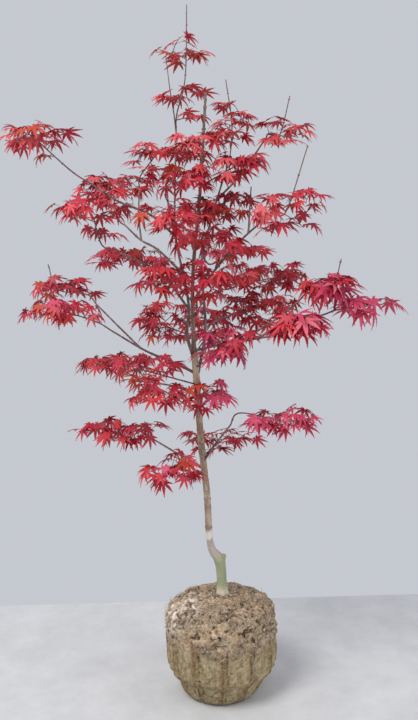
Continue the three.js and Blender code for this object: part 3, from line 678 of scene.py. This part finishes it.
def crumble(angle, height):
    """The broad relief of the soil, the same as the model's."""
    return (0.5 * math.sin(7 * angle + 0.11 * height)
            + 0.3 * math.sin(13 * angle - 0.17 * height + 1.3)
            + 0.2 * math.sin(23 * angle + 0.31 * height + 2.1))


def rib_at(angle):
    """1 on the crests of a double rib, 0 on the panels."""
    turn = angle * FLUTES / (2 * math.pi)
    off = abs(turn - round(turn)) * 2 * math.pi / FLUTES * BALL_RADIUS  # mm from the rib
    return math.exp(-((off - 2.6) / 3.6) ** 2)


def grains_at(spot):
    """Clods, crumbs, fine grains, cracks and pits at a place, each from 0 to about 1."""
    bent = spot + noise.noise_vector(spot * 60) * 0.004
    clods = noise.voronoi(bent * 62)[0]
    creases = min(1.0, noise.turbulence(bent * 48, 5, True) * 1.35)
    clod = 0.35 * min(1.0, (clods[1] - clods[0]) * 2.6) + 0.65 * creases
    small = noise.voronoi(spot * 250 + Vector((7, 3, 1)))[0]
    crumb = min(1.0, (small[1] - small[0]) * 2.0)
    fine = noise.turbulence(spot * 170, 3, False)
    layered = Vector((spot.x * 14, spot.y * 14, spot.z * 48))
    crack = math.exp(-(noise.fractal(layered, 0.8, 2.2, 3) / 0.06) ** 2)
    crack *= float(smoothstep(noise.noise(spot * 30 + Vector((4, 4, 4))), -0.12, 0.2))
    pits = float(smoothstep(noise.noise(spot * 120 + Vector((9, 2, 5))), 0.22, 0.42))
    return clod, crumb, fine, crack, pits


def flute_at(angle, z, fade):
    """The rise of the ribs and panels, how much of a rib it is, and how much painted shade
    dims the panel's groove and middle line."""
    rib = rib_at(angle + 0.012 * math.sin(z * 0.09)) * fade
    turn = angle * FLUTES / (2 * math.pi)
    side = (turn - round(turn)) * 2  # 0 on a rib, -1 and 1 between two
    groove = math.exp(-((side - 0.33) / 0.075) ** 2) * fade
    groove *= 0.4 + 0.6 * float(smoothstep(noise.noise(Vector((turn, 0.3, z * 0.03))), -0.3, 0.2))
    middle = math.exp(-(side / 0.05) ** 2) * fade
    rise = FLUTE_DEPTH * (0.95 * rib - 0.45 * fade) + 2.4 * side**2 * fade
    # the third value is painted shade in the groove and along the middle line
    return rise - (0.9 * groove + 0.8 * middle), rib, 0.34 * groove + 0.22 * middle


def surface_of_ball(angle, r, z):
    """How far the surface stands out at a place, how deep it lies from 0 to 1, which sets the
    painted shade and takes in the grooves' painted shade, and how much of a rib it is."""
    spot = Vector((r * math.cos(angle), r * math.sin(angle), z)) * MM
    edge = FLUTE_TOP + 3 + 34 * noise.noise(spot * 16) + 14 * noise.noise(spot * 48)
    crumbly = float(smoothstep(z, edge - 9, edge + 7))
    clod, crumb, fine, crack, pits = grains_at(spot)
    top = float(smoothstep(z, 180, 190))
    broad = SOIL_ROUGHNESS * mix(crumble(angle, z), 0.7 * crumble(angle + 1, r), top)
    rough = broad + 2.6 * (clod - 0.6) + 1.2 * (crumb - 0.5) + 1.2 * (fine - 0.4)
    rough -= 3.2 * crack + 2.4 * pits
    # this depth sets the soil's painted shade, so it drops in the cracks and pits
    depth_rough = (0.20 + 0.52 * clod + 0.24 * crumb) * (1 - 0.9 * crack) * (1 - 0.8 * pits)
    fade = float(smoothstep(z, 2, 20)) * (1 - crumbly)
    flute, rib, groove_shade = flute_at(angle, z, fade)
    panel = 1.2 * crumble(angle, 0.4 * z) + 0.7 * (fine - 0.4) + 0.15 * (crumb - 0.5)
    # the grooves' painted shade is taken off the panel's depth
    depth_panel = 0.56 + 0.12 * crumb + 0.30 * (fine - 0.3) - groove_shade
    rise = mix(panel, rough, crumbly) + flute
    if z < 5:
        rise *= z / 5
    return rise, max(0.0, mix(depth_panel, depth_rough, crumbly)), rib


def pale_at(place, depth):
    """How pale the soil is: dry, flaky crumbs lie on the left of the top's front edge."""
    spot = Vector(place) * MM
    away = (Vector(place) - Vector(PALE_PATCH)).length
    near = 1 - float(smoothstep(away, 24, 76))
    flakes = float(smoothstep(noise.noise(spot * 150) + 0.5 * noise.noise(spot * 40), -0.3, 0.2))
    return near * flakes * min(1.0, 1.5 * depth)


def build_ball():
    profile = ball_profile(BALL_RINGS)
    verts, marks, ribs, pales = [], [], [], []
    for (r, z), slope in zip(profile, np.gradient(profile, axis=0)):
        out, lift = facing(slope)
        near_stem = float(smoothstep(r, 20, 40)) if z > 150 else 1.0
        for k in range(BALL_SIDES):
            angle = 2 * math.pi * k / BALL_SIDES
            rise, depth, rib = surface_of_ball(angle, r, z)
            rise = rise * near_stem if z > 0 else 0.0
            verts.append(on_ball(angle, max(0.0, r + rise * out), max(0.0, z + rise * lift), z))
            marks.append(depth)
            ribs.append(rib)
            pales.append(pale_at(verts[-1], depth))
    shape = Shape()
    shape.add(np.array(verts), wall_quads(BALL_RINGS, BALL_SIDES), None, 0, np.array(marks))
    piece = shape.build("root_ball_soil", [ball_material()], marks=True)
    mark_points(piece.data, "rib", ribs)
    mark_points(piece.data, "pale", pales)
    return piece


def spot_on_ball(angle, share):
    """A place on the wall or top by its share of the profile, and the way out of it."""
    last = PROFILE_STEPS - 1
    k = int(share * last)
    r, z = PROFILE[k]
    out, lift = facing(PROFILE[min(k + 1, last)] - PROFILE[max(k - 1, 0)])
    rise = surface_of_ball(angle, r, z)[0] if r >= FLAT_NEAR_STEM else 0.0
    place = np.array(on_ball(angle, r + rise * out, z + rise * lift, z))
    return place, np.array([out * math.cos(angle), out * math.sin(angle), lift])


def lump(shape, place, size, draw, slot):
    """A rough crumb: a small ball of 6 by 4 faces with its corners pushed about."""
    turn = draw(0, 6.28)
    flat = draw(0.55, 0.9)
    verts = [(0, 0, -1.0)]
    for level, wide in ((-0.55, 0.8), (0.1, 1.0), (0.65, 0.72)):
        for k in range(6):
            a = 2 * math.pi * k / 6 + turn
            push = draw(0.78, 1.18)
            verts.append((wide * push * math.cos(a), wide * push * math.sin(a), level * push))
    verts.append((0, 0, draw(0.8, 1.05)))
    verts = np.array(verts) * size * np.array([1, draw(0.7, 1.1), flat])
    quads = [[1 + 6 * q + k, 1 + 6 * q + (k + 1) % 6, 7 + 6 * q + (k + 1) % 6, 7 + 6 * q + k]
             for q in range(2) for k in range(6)]
    tris = [[0, 1 + (k + 1) % 6, 1 + k] for k in range(6)]
    tris += [[19, 13 + k, 13 + (k + 1) % 6] for k in range(6)]
    shape.add(verts + place, quads, tris, slot)


def build_crumbs():
    shape = Shape()
    draw = seeded_draw(901)
    for _ in range(CRUMBS):
        angle = draw(0, 2 * math.pi)
        place, out = spot_on_ball(angle, 1 - draw(0, 1) * 0.50)
        size = 0.7 + 2.8 * draw() ** 2.8
        kind = draw() + 0.25 * pale_at(place, 1.0)
        slot = 0 if kind < 0.6 else 1 if kind < 0.88 else 2
        if slot == 2:
            size = draw(0.7, 1.7)
        if math.hypot(place[0] - STEM_X, place[1]) < 17 + size:
            continue
        lump(shape, place + out * size * 0.15, size, draw, slot)
    for _ in range(HEAPED_CRUMBS):  # up against the foot of the stem
        angle, size = draw(0, 2 * math.pi), draw(0.9, 2.4)
        far = 14.5 + 0.7 * size + 10 * draw() ** 1.5
        heap = max(0.0, 5.0 - 0.5 * (far - 15))
        lump(shape, np.array([STEM_X + far * math.cos(angle), far * math.sin(angle),
                              SOIL_TOP + 0.4 + heap * draw(0.2, 1)]), size, draw,
             0 if draw() < 0.7 else 1)
    materials = [
        soil_material("soil_crumb", (0.14, 0.095, 0.06), (0.32, 0.245, 0.16),
                      (0.52, 0.42, 0.30)),
        soil_material("soil_pale", (0.32, 0.25, 0.17), (0.52, 0.43, 0.32),
                      (0.74, 0.65, 0.53)),
        soil_material("soil_fleck", (0.60, 0.50, 0.43), (0.80, 0.71, 0.63),
                      (0.90, 0.85, 0.79)),
    ]
    return shape.build("root_ball_crumbs", materials, smooth=False)


def build_roots():
    """Fine roots that run over the wall of the ball, as they grew against the pot."""
    shape = Shape()
    draw = seeded_draw(902)

    def root(points, radius, steps, brown_from):
        tube(shape, ring_frames(Curve(points), np.linspace(0, 1, steps)), radius, 4,
             0 if draw() < brown_from else 1)

    for _ in range(WALL_ROOTS):
        angle = draw(0, 2 * math.pi)
        share = 0.21 + 0.75 * draw() ** 0.65
        slant = draw(-1, 1)
        run = draw(12, 34)
        points = []
        for k in range(13):
            s = k / 12
            a = angle + (s - 0.5) * run * slant / 100 * 2.2 + 0.018 * math.sin(s * 9 + angle * 5)
            h = share + (s - 0.5) * run * (1 - abs(slant)) / 480 * 1.6
            h += 0.004 * math.sin(s * 13 + slant * 9)
            place, out = spot_on_ball(a, min(0.97, max(0.20, h)))
            points.append(place + out * 0.15)
        root(points, draw(0.16, 0.42) * np.linspace(1, 0.45, 15), 15, 0.6)
    for _ in range(LOOSE_ROOTS):  # loose ends, most of them on the left of the upper edge
        left = draw() < 0.5
        angle = draw(2.5, 4.5) if left else draw(0, 2 * math.pi)
        share = draw(0.62, 0.80) if left else draw(0.53, 0.93)
        place, out = spot_on_ball(angle, share)
        ahead = np.array([draw(-1, 1), draw(-1, 1), draw(-0.5, 0.9)])
        ahead = unit(ahead - out * float(ahead @ out))
        run, lift = draw(8, 21), draw(0.05, 0.6)
        points = [place + (ahead * s + out * (lift * s * (1.5 - s) + 0.06 * math.sin(9 * s))) * run
                  for s in np.linspace(0, 1, 7)]
        points[0] = points[0] - out
        root(points, draw(0.28, 0.62) * np.linspace(1, 0.4, 9), 9, 0.75)
    materials = [
        bark_material("root_pale", (0.46, 0.34, 0.21), (0.68, 0.56, 0.40), (0.82, 0.72, 0.57),
                      (0.74, 0.63, 0.48)),
        bark_material("root_brown", (0.20, 0.11, 0.055), (0.36, 0.22, 0.125),
                      (0.50, 0.35, 0.22), (0.42, 0.28, 0.17)),
    ]
    return shape.build("root_ball_roots", materials)


# ------------------------------------------------------------------ trunk and boughs

limbs = {}  # name -> Curve
limb_marks = []  # sample places on the limbs: x, y, z, radius


def trunk_radius(z):
    above_graft = smoothstep(z, GRAFT_HEIGHT - 6, GRAFT_HEIGHT + 44)
    above_fork = smoothstep(z, FORK_HEIGHT, FORK_HEIGHT + 45)
    to_tip = np.maximum(0, (z - FORK_HEIGHT) / (TRUNK_TOP - FORK_HEIGHT))
    flare = ROOT_FLARE * np.exp(-(z - SOIL_TOP) / ROOT_FLARE_HEIGHT)
    swelling = GRAFT_SWELLING * np.exp(-(((z - GRAFT_HEIGHT) / 12) ** 2))
    stem = mix(TRUNK_BASE_RADIUS, TRUNK_STEM_RADIUS, above_graft)
    leader = mix(TRUNK_LEADER_RADIUS, TRUNK_TIP_RADIUS, to_tip)
    return mix(stem, leader, above_fork) + flare + swelling


def relief(points, sides, amount, seed):
    """Bark relief as a share of the radius, one value for each ring and side."""
    rows = []
    for p in points:
        row = []
        for j in range(sides):
            a = 2 * math.pi * j / sides
            spot = Vector((1.5 * math.cos(a), 1.5 * math.sin(a), p[2] * 0.045 + seed))
            knobs = noise.fractal(spot, 0.9, 2.1, 4)
            ridge = noise.noise(Vector((5 * math.cos(a), 5 * math.sin(a), p[2] * 0.02 + seed)))
            row.append(1 + amount * (0.7 * knobs + 0.5 * ridge))
        rows.append(row)
    return np.array(rows)


def node_swelling(lengths, spots, height=0.28, width=1.6):
    """Rings that stand out where leaves once grew."""
    out = np.ones(len(lengths))
    for spot in spots:
        out += height * np.exp(-(((lengths - spot) / width) ** 2))
        out -= 0.45 * height * np.exp(-(((lengths - spot - 2.6 * width) / width) ** 2))
    return out


def last_where(low, high, halvings, holds):
    """The highest number between two up to which something holds."""
    for _ in range(halvings):
        middle = (low + high) / 2
        low, high = (middle, high) if holds(middle) else (low, middle)
    return low


def place_on(host, at):
    """A place by its share of a bough, or by its height on the trunk."""
    curve = limbs[host]
    share = at if host != "trunk" else last_where(0.0, 1.0, 40,
                                                  lambda t: curve.at(t)[0][2] < at)
    return curve.at(share)[0]


def remember(points, radii):
    for p, r in zip(points, np.broadcast_to(radii, len(points))):
        limb_marks.append((*p, float(r)))


def spots_along(spot, end, step):
    """The places of nodes from one spot up to an end, each a step on from the last."""
    spots = []
    while spot < end:
        spots.append(spot)
        spot += step(spot)
    return spots


def lengths_along(points):
    return np.concatenate([[0], np.cumsum(np.linalg.norm(np.diff(points, axis=0), axis=1))])


def add_stub(shape):
    """The cut stub of the rootstock, with a rim of callus."""
    heading = unit(STUB_TIP - STUB_FOOT)
    shares = np.linspace(0, 1, 26)
    middle = STUB_FOOT + np.outer(shares, STUB_TIP - STUB_FOOT)
    rim = mix(*STUB_RADII, shares) + 0.5 * np.exp(-(((shares - 0.95) / 0.06) ** 2))
    rim[-1] -= 0.9
    tube(shape, straight_frames(middle, heading, unit(np.cross(heading, [0, 1, 0]))),
         rim[:, None] * relief(middle, 20, 0.08, 9.0), 20, mark=1.0, round_tip=False)


def build_trunk(material):
    curve = limbs["trunk"] = Curve(TRUNK_PATH)
    sides, shares = TRUNK_SIDES, np.linspace(0, 1, TRUNK_RINGS)
    frames = ring_frames(curve, shares, UP)
    points = frames[0]
    z = points[:, 2]
    lengths = lengths_along(points)
    draw = seeded_draw(77)
    spots = spots_along(150.0, lengths[-1] - 6,
                        lambda spot: draw(38, 62) if spot < 520 else draw(26, 44))
    swell = node_swelling(lengths, spots, 0.11, 2.0)
    swell *= node_swelling(lengths, [lengths[-1] - d for d in TOP_KNOBS], 0.45, 2.6)
    radius = trunk_radius(z)[:, None] * swell[:, None] * relief(points, sides, 0.11, 3.0)
    # the flare breaks up into a few root shoulders at the soil
    angle = 2 * np.pi * np.arange(sides) / sides
    low = np.exp(-(z - SOIL_TOP) / 12)[:, None]
    radius += 1.6 * low * np.cos(ROOT_SHOULDERS * angle + 0.6)[None]
    shape = Shape()
    tube(shape, frames, radius, sides, round_tip=False)
    remember(points[::3], trunk_radius(z[::3]))
    add_stub(shape)
    for k, spot in enumerate(spots):
        place = float(np.interp(spot, lengths, shares))
        here = curve.at(place)[0][2]
        if here >= LOWEST_BUD:
            bud_pair(shape, curve, place, [0.2, 1, 0.1], k * math.pi / 2,
                     float(trunk_radius(here)), 0.9, 1.5, 0.5, draw, (3.4, 4.8), (0.9, 1.25))
    return shape.build("trunk_bark", [material], marks=True)


def build_bough(index, material, name, host, at, thick, thin, *path):
    curve = limbs[name] = Curve([place_on(host, at), *path])
    sides = BOUGH_SIDES
    shares = np.linspace(0, 1, max(30, int(curve.length() / BOUGH_RING_GAP)))
    frames = ring_frames(curve, shares)
    points = frames[0]
    lengths = lengths_along(points)
    draw = seeded_draw(300 + index)
    spots = spots_along(draw(18, 34), lengths[-1] - 5, lambda spot: draw(24, 46))
    base = mix(thick, thin, shares)
    collar = 1 + 0.45 * np.exp(-lengths / 5.5)
    radius = base * node_swelling(lengths, spots, 0.22, 1.5) * collar
    shape = Shape()
    tube(shape, frames, radius[:, None] * relief(points, sides, 0.07, index * 2.7), sides)
    remember(points[::4], base[::4])
    for k, spot in enumerate(spots):
        if draw() < 0.35:
            continue
        bud_pair(shape, curve, float(np.interp(spot, lengths, shares)), [0.3, 0.2, 1.0],
                 (k % 2) * math.pi / 2, float(np.interp(spot, lengths, base)), 0.85, 1.2, 0.55,
                 draw, (2.6, 3.8), (0.65, 0.95))
    return shape.build(name + "_bark", [material])


# ------------------------------------------------------------------ leaves

def leaf_shape(draw):
    """A blade with seven slender toothed lobes, one unit long: x ahead, y aside, z above.
    Returns its vertices, quads and triangles, and the corners at the lobes' tips."""
    verts = [(0.0, 0.0)]
    folds = [0.0]
    quads, tris, tips = [], [], []
    axes = [(math.radians(a + draw(-4, 4)), length * draw(0.92, 1.06)) for a, length in LOBES]
    notches = []
    for (a, la), (b, lb) in zip(axes, axes[1:]):
        share = NOTCH * (0.72 + 0.28 * min(la, lb)) * draw(0.9, 1.08)
        notches.append(((a + b) / 2, share))
    notches = [(axes[0][0] - 0.42, 0.07), *notches, (axes[-1][0] + 0.42, 0.07)]

    def add(p, fold):
        verts.append(p)
        folds.append(fold)
        return len(verts) - 1

    corners = [add((r * math.cos(a), r * math.sin(a)), 0.03) for a, r in notches]
    for k, (a, length) in enumerate(axes):
        along = np.array([math.cos(a), math.sin(a)])
        across = np.array([-math.sin(a), math.cos(a)])
        low, high = corners[k], corners[k + 1]
        root = min(notches[k][1], notches[k + 1][1]) * 0.9
        before = add(tuple(along * root), -0.012)
        tris += [[0, low, before], [0, before, high]]
        wide = LOBE_WIDTH * (0.45 + 0.55 * length)
        left, right = low, high
        for share, width in LOBE_EDGE:
            if share * length < root + 0.04:
                continue
            w = wide * width * draw(0.94, 1.06)
            spot = along * share * length
            middle = add(tuple(spot), -0.012)
            a_side = add(tuple(spot - across * w), 0.30 * w)
            b_side = add(tuple(spot + across * w), 0.30 * w)
            quads += [[left, a_side, middle, before], [before, middle, b_side, right]]
            left, right, before = a_side, b_side, middle
        tip = add(tuple(along * length), 0.0)
        tris += [[left, tip, before], [before, tip, right]]
        tips.append(tip)
    flat = np.array(verts)
    return flat, np.array(folds), np.array(quads), np.array(tris), np.array(tips)


shape_draw = seeded_draw(555)
LEAF_KINDS = [leaf_shape(shape_draw) for _ in range(LEAF_SHAPES)]
SPACE_MIDDLES = np.array([m.middle for m in MASSES], float)
SPACE_HALVES = np.array([m.half for m in MASSES], float)
SPACE_HALVES *= np.array([[m.spread] for m in MASSES])
REACH_LOW = np.array(CAD_BOX[0]) / MM - EDGE_ROOM
REACH_HIGH = np.array(CAD_BOX[1]) / MM + EDGE_ROOM
placed = np.zeros((MOST_LEAVES, 3))  # the middles of all leaves
placed_count = [0]


def depth_in(index, p):
    """0 in the middle of a mass's space, 1 on its surface."""
    d = (np.asarray(p) - SPACE_MIDDLES[index]) / SPACE_HALVES[index]
    return np.sqrt((d * d).sum(-1))


def nearest_leaf(p):
    if not placed_count[0]:
        return 1e9
    return float(np.linalg.norm(placed[:placed_count[0]] - p, axis=1).min())


def belongs(index, p):
    """Whether a place lies in this space, and deeper in it than in any other."""
    d = (p - SPACE_MIDDLES) / SPACE_HALVES
    depths = np.sqrt((d * d).sum(-1))
    return depths[index] < SPACE_EDGE and depths.argmin() == index


def reach_in(index, p, direction):
    """How far it is from a place to the surface of a space."""
    return last_where(0.0, 400.0, 30, lambda d: depth_in(index, p + direction * d) < 1)


def stem_curve(mass, index):
    middle = np.array(mass.middle, float)
    if mass.host == "trunk":
        point = place_on("trunk", mass.at)
        direction = unit(np.array(mass.away, float) if mass.away else middle - point)
    else:
        host = limbs[mass.host]
        direction = host.heading(1)[0]
        point = host.at(1)[0]
    early = point + direction * 0.35 * np.linalg.norm(middle - point)
    if mass.tip:
        end = np.array(mass.tip, float)
    else:
        onward = middle - point
        onward[2] *= 0.6
        onward = unit(onward)
        run = max(6.0, reach_in(index, middle, onward) - CAD_LEAF_LENGTH * 1.1)
        end = middle + onward * run
    return Curve([point, early, middle, end])


def blade(kind, joint, ahead, size, droop, roll, curl):
    """The vertices of one leaf, and the places of its lobe tips."""
    flat, folds, _, _, tips = LEAF_KINDS[kind]
    side = turned(unit(np.cross(ahead, UP)), ahead, roll)
    forward = turned(ahead, side, -droop)
    normal = np.cross(side, forward)
    r2 = (flat * flat).sum(-1)
    above = folds - curl * r2 - 0.35 * curl * r2 * r2
    pull = 1 - 0.18 * curl * r2
    verts = (joint + np.outer(flat[:, 0] * pull * size, forward)
             + np.outer(flat[:, 1] * pull * size, side) + np.outer(above * size, normal))
    return verts, verts[tips]


def pick(palette, share):
    total = 0.0
    for name, weight in PALETTES[palette].items():
        total += weight
        if share < total:
            return TINT_NAMES.index(name)
    return TINT_NAMES.index(next(iter(PALETTES[palette])))


class Mass:
    """One mass: its stem, twigs and leaves, grown inside its own space."""

    def __init__(self, index, marks):
        self.index = index
        self.mass = MASSES[index]
        self.draw = seeded_draw(index + 1)
        self.leaves, self.twigs = Shape(), Shape()
        self.nodes = []
        self.marks = marks[depth_in(index, marks[:, :3]) < NEAR_LIMBS]
        self.count = 0
        self.size = LEAF * self.mass.bigger
        self.droop = mix(1.25, 0.6, float(smoothstep(self.mass.middle[2], 1060, 1180)))

    def clear(self, points):
        gap = np.linalg.norm(points[:, None] - self.marks[None, :, :3], axis=2)
        return bool((gap > self.marks[None, :, 3] + LIMB_ROOM).all())

    def grow_leaf(self, foot, outward, rise, petiole, size, tint):
        """A leaf on its petiole; False where it would leave the space or touch a limb."""
        draw = self.draw
        size *= draw(0.88, 1.12)
        droop, roll = draw(0.0, 1.0) ** 1.4 * self.droop, draw(-0.55, 0.55)
        curl, kind = draw(0.06, 0.30), int(draw(0, LEAF_SHAPES - 0.001))
        level = outward.copy()
        level[2] = 0
        if np.linalg.norm(level) < 0.2:
            level = np.array([math.cos(droop * 20), math.sin(droop * 20), 0])
        level = unit(level)
        for turn in (0, 0.5, -0.5):
            ahead = turned(level, UP, turn)
            joint = foot + unit(ahead + UP * rise) * petiole
            centre = (joint + ahead * size * LEAF_MIDDLE * math.cos(droop)
                      - UP * size * LEAF_MIDDLE * math.sin(droop))
            if not belongs(self.index, centre) or nearest_leaf(centre) < LEAF_GAP * size:
                continue
            verts, tips = blade(kind, joint, ahead, size, droop, roll, curl)
            if ((depth_in(self.index, tips) > TIP_REACH).any() or not self.clear(tips)
                    or (tips < REACH_LOW).any() or (tips > REACH_HIGH).any()
                    or not self.clear(np.array([joint, centre]))):
                continue
            _, _, quads, tris, _ = LEAF_KINDS[kind]
            self.leaves.add(verts, quads, tris, tint)
            bend = foot + (joint - foot) * 0.55 + UP * petiole * 0.07
            stalk = Curve([foot, bend, joint + ahead * 0.6])
            tube(self.leaves, ring_frames(stalk, np.linspace(0, 1, 5)), PETIOLE_RADII, 4,
                 len(TINTS))
            placed[placed_count[0]] = centre
            placed_count[0] += 1
            self.count += 1
            return True
        return False

    def grow_pair(self, foot, heading, spread, size, tint):
        draw = self.draw
        flat = np.array([heading[0], heading[1], 0.0])
        if np.linalg.norm(flat) < 0.15:
            flat = np.array([math.cos(draw(0, 6.28)), math.sin(draw(0, 6.28)), 0.0])
        flat = unit(flat)
        grown = 0
        for side in (-1, 1):
            outward = turned(flat, UP, side * spread)
            petiole = draw(9, 20)
            grown += self.grow_leaf(foot, outward, draw(0.0, 0.55), petiole, size, tint)
        return grown

    def grow_spray(self, root, target):
        """A twig from a node towards a place, with pairs of leaves at and below its tip."""
        draw = self.draw
        size = self.size * draw(0.84, 1.1)
        way = target - root
        distance = float(np.linalg.norm(way))
        heading = unit(way)
        length = max(7.0, distance - size * 0.62)
        tip = root + heading * length
        tint = pick(self.mass.tint, draw())
        before = self.count
        end = tip + UP * length * 0.03
        bend = root + heading * length * 0.5 + UP * length * draw(0.04, 0.12)
        curve = Curve([root, bend, end])
        self.grow_pair(end, heading, draw(0.45, 0.85), size, tint)
        if draw() < 0.5 or self.count == before:
            self.grow_leaf(end, heading, draw(0.1, 0.5), draw(7, 14), size * 0.86, tint)
        for q in range(int(length / 24)):
            share = 1 - (q + 1) * PAIR_SPACING / max(length, 24)
            if share < 0.12:
                break
            self.grow_pair(curve.at(share)[0], heading, draw(0.9, 1.35), size, tint)
        if self.count == before:
            return False
        base = min(1.15, 0.62 + length * 0.008)
        shares = np.linspace(0, 1, 5 if length < 20 else 9)
        tube(self.twigs, ring_frames(curve, shares), mix(base, 0.52, shares), 5)
        bud(self.twigs, end, heading, draw(2.2, 3.4), draw(0.6, 0.8))
        for q in (-1, 1):
            aside = unit(np.cross(heading, UP)) * q
            bud(self.twigs, end - heading * 0.6 + aside * 0.3, unit(aside + heading), 1.8, 0.5)
        if length > 2 * NODE_SPACING:
            count = max(1, round(length * 0.5 / NODE_SPACING))
            for q in range(1, count + 1):
                self.nodes.append(curve.at(mix(0.3, 0.8, q / count))[0])
        return True

    def grow_stem(self):
        """The stem with its buds, and the nodes that sprays may start from."""
        mass, draw, index = self.mass, self.draw, self.index
        stem = stem_curve(mass, index)
        leafy = BARE_TIP_FROM if mass.tip else 1.0
        steps = max(16, int(stem.length() / 4))
        shares = np.linspace(0, 1, steps)
        frames = ring_frames(stem, shares)
        lengths = lengths_along(frames[0])
        if mass.name == "top_leaves":
            bare_shoot = ring_frames(Curve(BARE_SHOOT), np.linspace(0, 1, 60))
            tube(self.twigs, bare_shoot, np.linspace(1.5, 0.75, 60), STEM_SIDES)
        spots = spots_along(14.0, lengths[-1] - 3, lambda spot: draw(18, 30))
        foot_radius = 1.6 if mass.host == "trunk" else 1.5
        radius = mix(foot_radius, 0.95, shares) * node_swelling(lengths, spots, 0.2, 1.1)
        tube(self.twigs, frames,
             radius[:, None] * relief(frames[0], STEM_SIDES, 0.06, index * 3.1), STEM_SIDES)
        for k, spot in enumerate(spots):
            bud_pair(self.twigs, stem, float(np.interp(spot, lengths, shares)),
                     [0.3, 0.9, 0.4], (k % 2) * math.pi / 2, 1.0, 1.0, 0.8, 0.6, draw,
                     (2.0, 3.2), (0.55, 0.8))
        for k in range(1, 25):
            here = stem.at(k / 24 * leafy * 0.99)[0]
            if depth_in(index, here) < 0.97:
                self.nodes.append(here)
        if not mass.tip:
            self.grow_spray(stem.at(0.97)[0], stem.at(1)[0] + stem.heading(1)[0] * 30)

    def grow_crown(self):
        """Sprays towards places spread through the space, until it has its leaves."""
        mass, draw, index = self.mass, self.draw, self.index
        wanted = round(mass.leaves * LEAVES_PER_SPRAY * mass.denser)
        tries = wanted * 30
        middle, half = SPACE_MIDDLES[index], SPACE_HALVES[index]
        for k in range(tries):
            if self.count >= wanted:
                break
            around, lift = draw(0, 2 * math.pi), draw(-1, 1)
            out = draw() ** (1 / 3) * 0.95
            flat = math.sqrt(1 - lift * lift)
            target = middle + half * out * np.array(
                [flat * math.cos(around), flat * math.sin(around), lift * 0.85])
            if nearest_leaf(target) < mix(0.8, 0.4, k / tries) * LEAF:
                continue
            if mass.name == "top_leaves":
                low, high = TOP_TIERS[k % len(TOP_TIERS)]
                target[2] = mix(low, high, 0.5 + 0.5 * lift)
            spots = np.array(self.nodes)
            root = spots[np.linalg.norm(spots - target, axis=1).argmin()]
            if self.grow_spray(root, target):
                self.nodes = [p for p in self.nodes if not np.array_equal(p, root)]
                if not self.nodes:
                    break


# ------------------------------------------------------------------ the plant

ball = build_ball()
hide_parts("root_ball")
crumbs, roots = build_crumbs(), build_roots()
for piece in (ball, crumbs, roots):
    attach(piece, "root")

trunk = build_trunk(trunk_material())
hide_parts("trunk")
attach(trunk, "root")

red_bark = bark_material("shoot_bark", (0.050, 0.024, 0.024), (0.145, 0.082, 0.076),
                         (0.33, 0.25, 0.23), (0.25, 0.18, 0.165), 1.4)
twig_bark = bark_material("twig_bark", (0.065, 0.024, 0.026), (0.14, 0.060, 0.058),
                          (0.27, 0.175, 0.16), (0.20, 0.12, 0.11), 1.8)
for index, bough in enumerate(BOUGHS):
    piece = build_bough(index, red_bark, *bough)
    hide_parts(bough[0])
    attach(piece, "root")

leaf_materials = [leaf_material(name, TINTS[name]) for name in TINT_NAMES]
petiole_material = bark_material("petiole", (0.30, 0.03, 0.035), (0.48, 0.06, 0.06),
                                 (0.60, 0.15, 0.12), (0.55, 0.11, 0.09), 2.0)
marks = np.array(limb_marks)
for index, mass in enumerate(MASSES):
    grown = Mass(index, marks)
    grown.grow_stem()
    grown.grow_crown()
    leaves = grown.leaves.build(mass.name + "_blades", [*leaf_materials, petiole_material])
    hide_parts(mass.name)
    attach(leaves, "root")
    twigs = grown.twigs.build(mass.name.replace("_leaves", "_twigs"), [twig_bark])
    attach(twigs, "root")
# ------------------------------------------------------------------ floor, light, camera


CAMERA_PLACE, CAMERA_LENS = (-0.006, -1.6, 0.912), 40
CAMERA_DOWN, CAMERA_ROLL = 7.4, -1.6  # degrees
FLOOR_SIDE, FLOOR_FRONT, FLOOR_BACK = 2.2, -2.4, 0.44


def build_floor():
    mesh = bpy.data.meshes.new("floor")
    mesh.from_pydata([(-FLOOR_SIDE, FLOOR_FRONT, 0), (FLOOR_SIDE, FLOOR_FRONT, 0),
                      (FLOOR_SIDE, FLOOR_BACK, 0), (-FLOOR_SIDE, FLOOR_BACK, 0)], [],
                     [(0, 1, 2, 3)])
    piece = add_object("floor", mesh)
    material, tree, _ = new_material("floor", 0.85, 0.3)
    mesh.materials.append(paint(material, ramp(
        tree, noise_at(tree, 9, 8.0, 0.7),
        [(0.35, (0.60, 0.605, 0.61)), (0.65, (0.70, 0.705, 0.71))])))


def soft_light(name, place, target, size, power, colour=(1, 1, 1)):
    light = bpy.data.lights.new(name, "AREA")
    light.shape = "DISK"
    light.size = size
    light.energy = power
    light.color = colour
    lamp = add_object(name, light)
    lamp.location = place
    lamp.rotation_mode = "QUATERNION"
    lamp.rotation_quaternion = (Vector(target) - Vector(place)).to_track_quat("-Z", "Y")


def build_studio():
    world = bpy.data.worlds.new("studio")
    bpy.context.scene.world = world
    world.use_nodes = True
    sky = world.node_tree.nodes["Background"]
    sky.inputs["Color"].default_value = (0.56, 0.58, 0.63, 1)
    sky.inputs["Strength"].default_value = 1.0
    soft_light("key", (-1.4, -1.6, 2.9), (0, 0, 0.8), 1.6, 68, (1.0, 0.985, 0.96))
    soft_light("fill", (2.4, -1.6, 1.2), (0, 0, 0.7), 2.2, 20, (0.95, 0.97, 1.0))
    camera = bpy.data.cameras.new("camera")
    camera.lens = CAMERA_LENS
    camera.sensor_width = 36
    camera.clip_start = 0.05
    seat = add_object("camera", camera)
    seat.matrix_world = (Matrix.Translation(CAMERA_PLACE)
                         @ Matrix.Rotation(math.radians(90 - CAMERA_DOWN), 4, "X")
                         @ Matrix.Rotation(math.radians(CAMERA_ROLL), 4, "Z"))
    bpy.context.scene.camera = seat
    bpy.context.scene.view_settings.view_transform = "Standard"


build_floor()
build_studio()
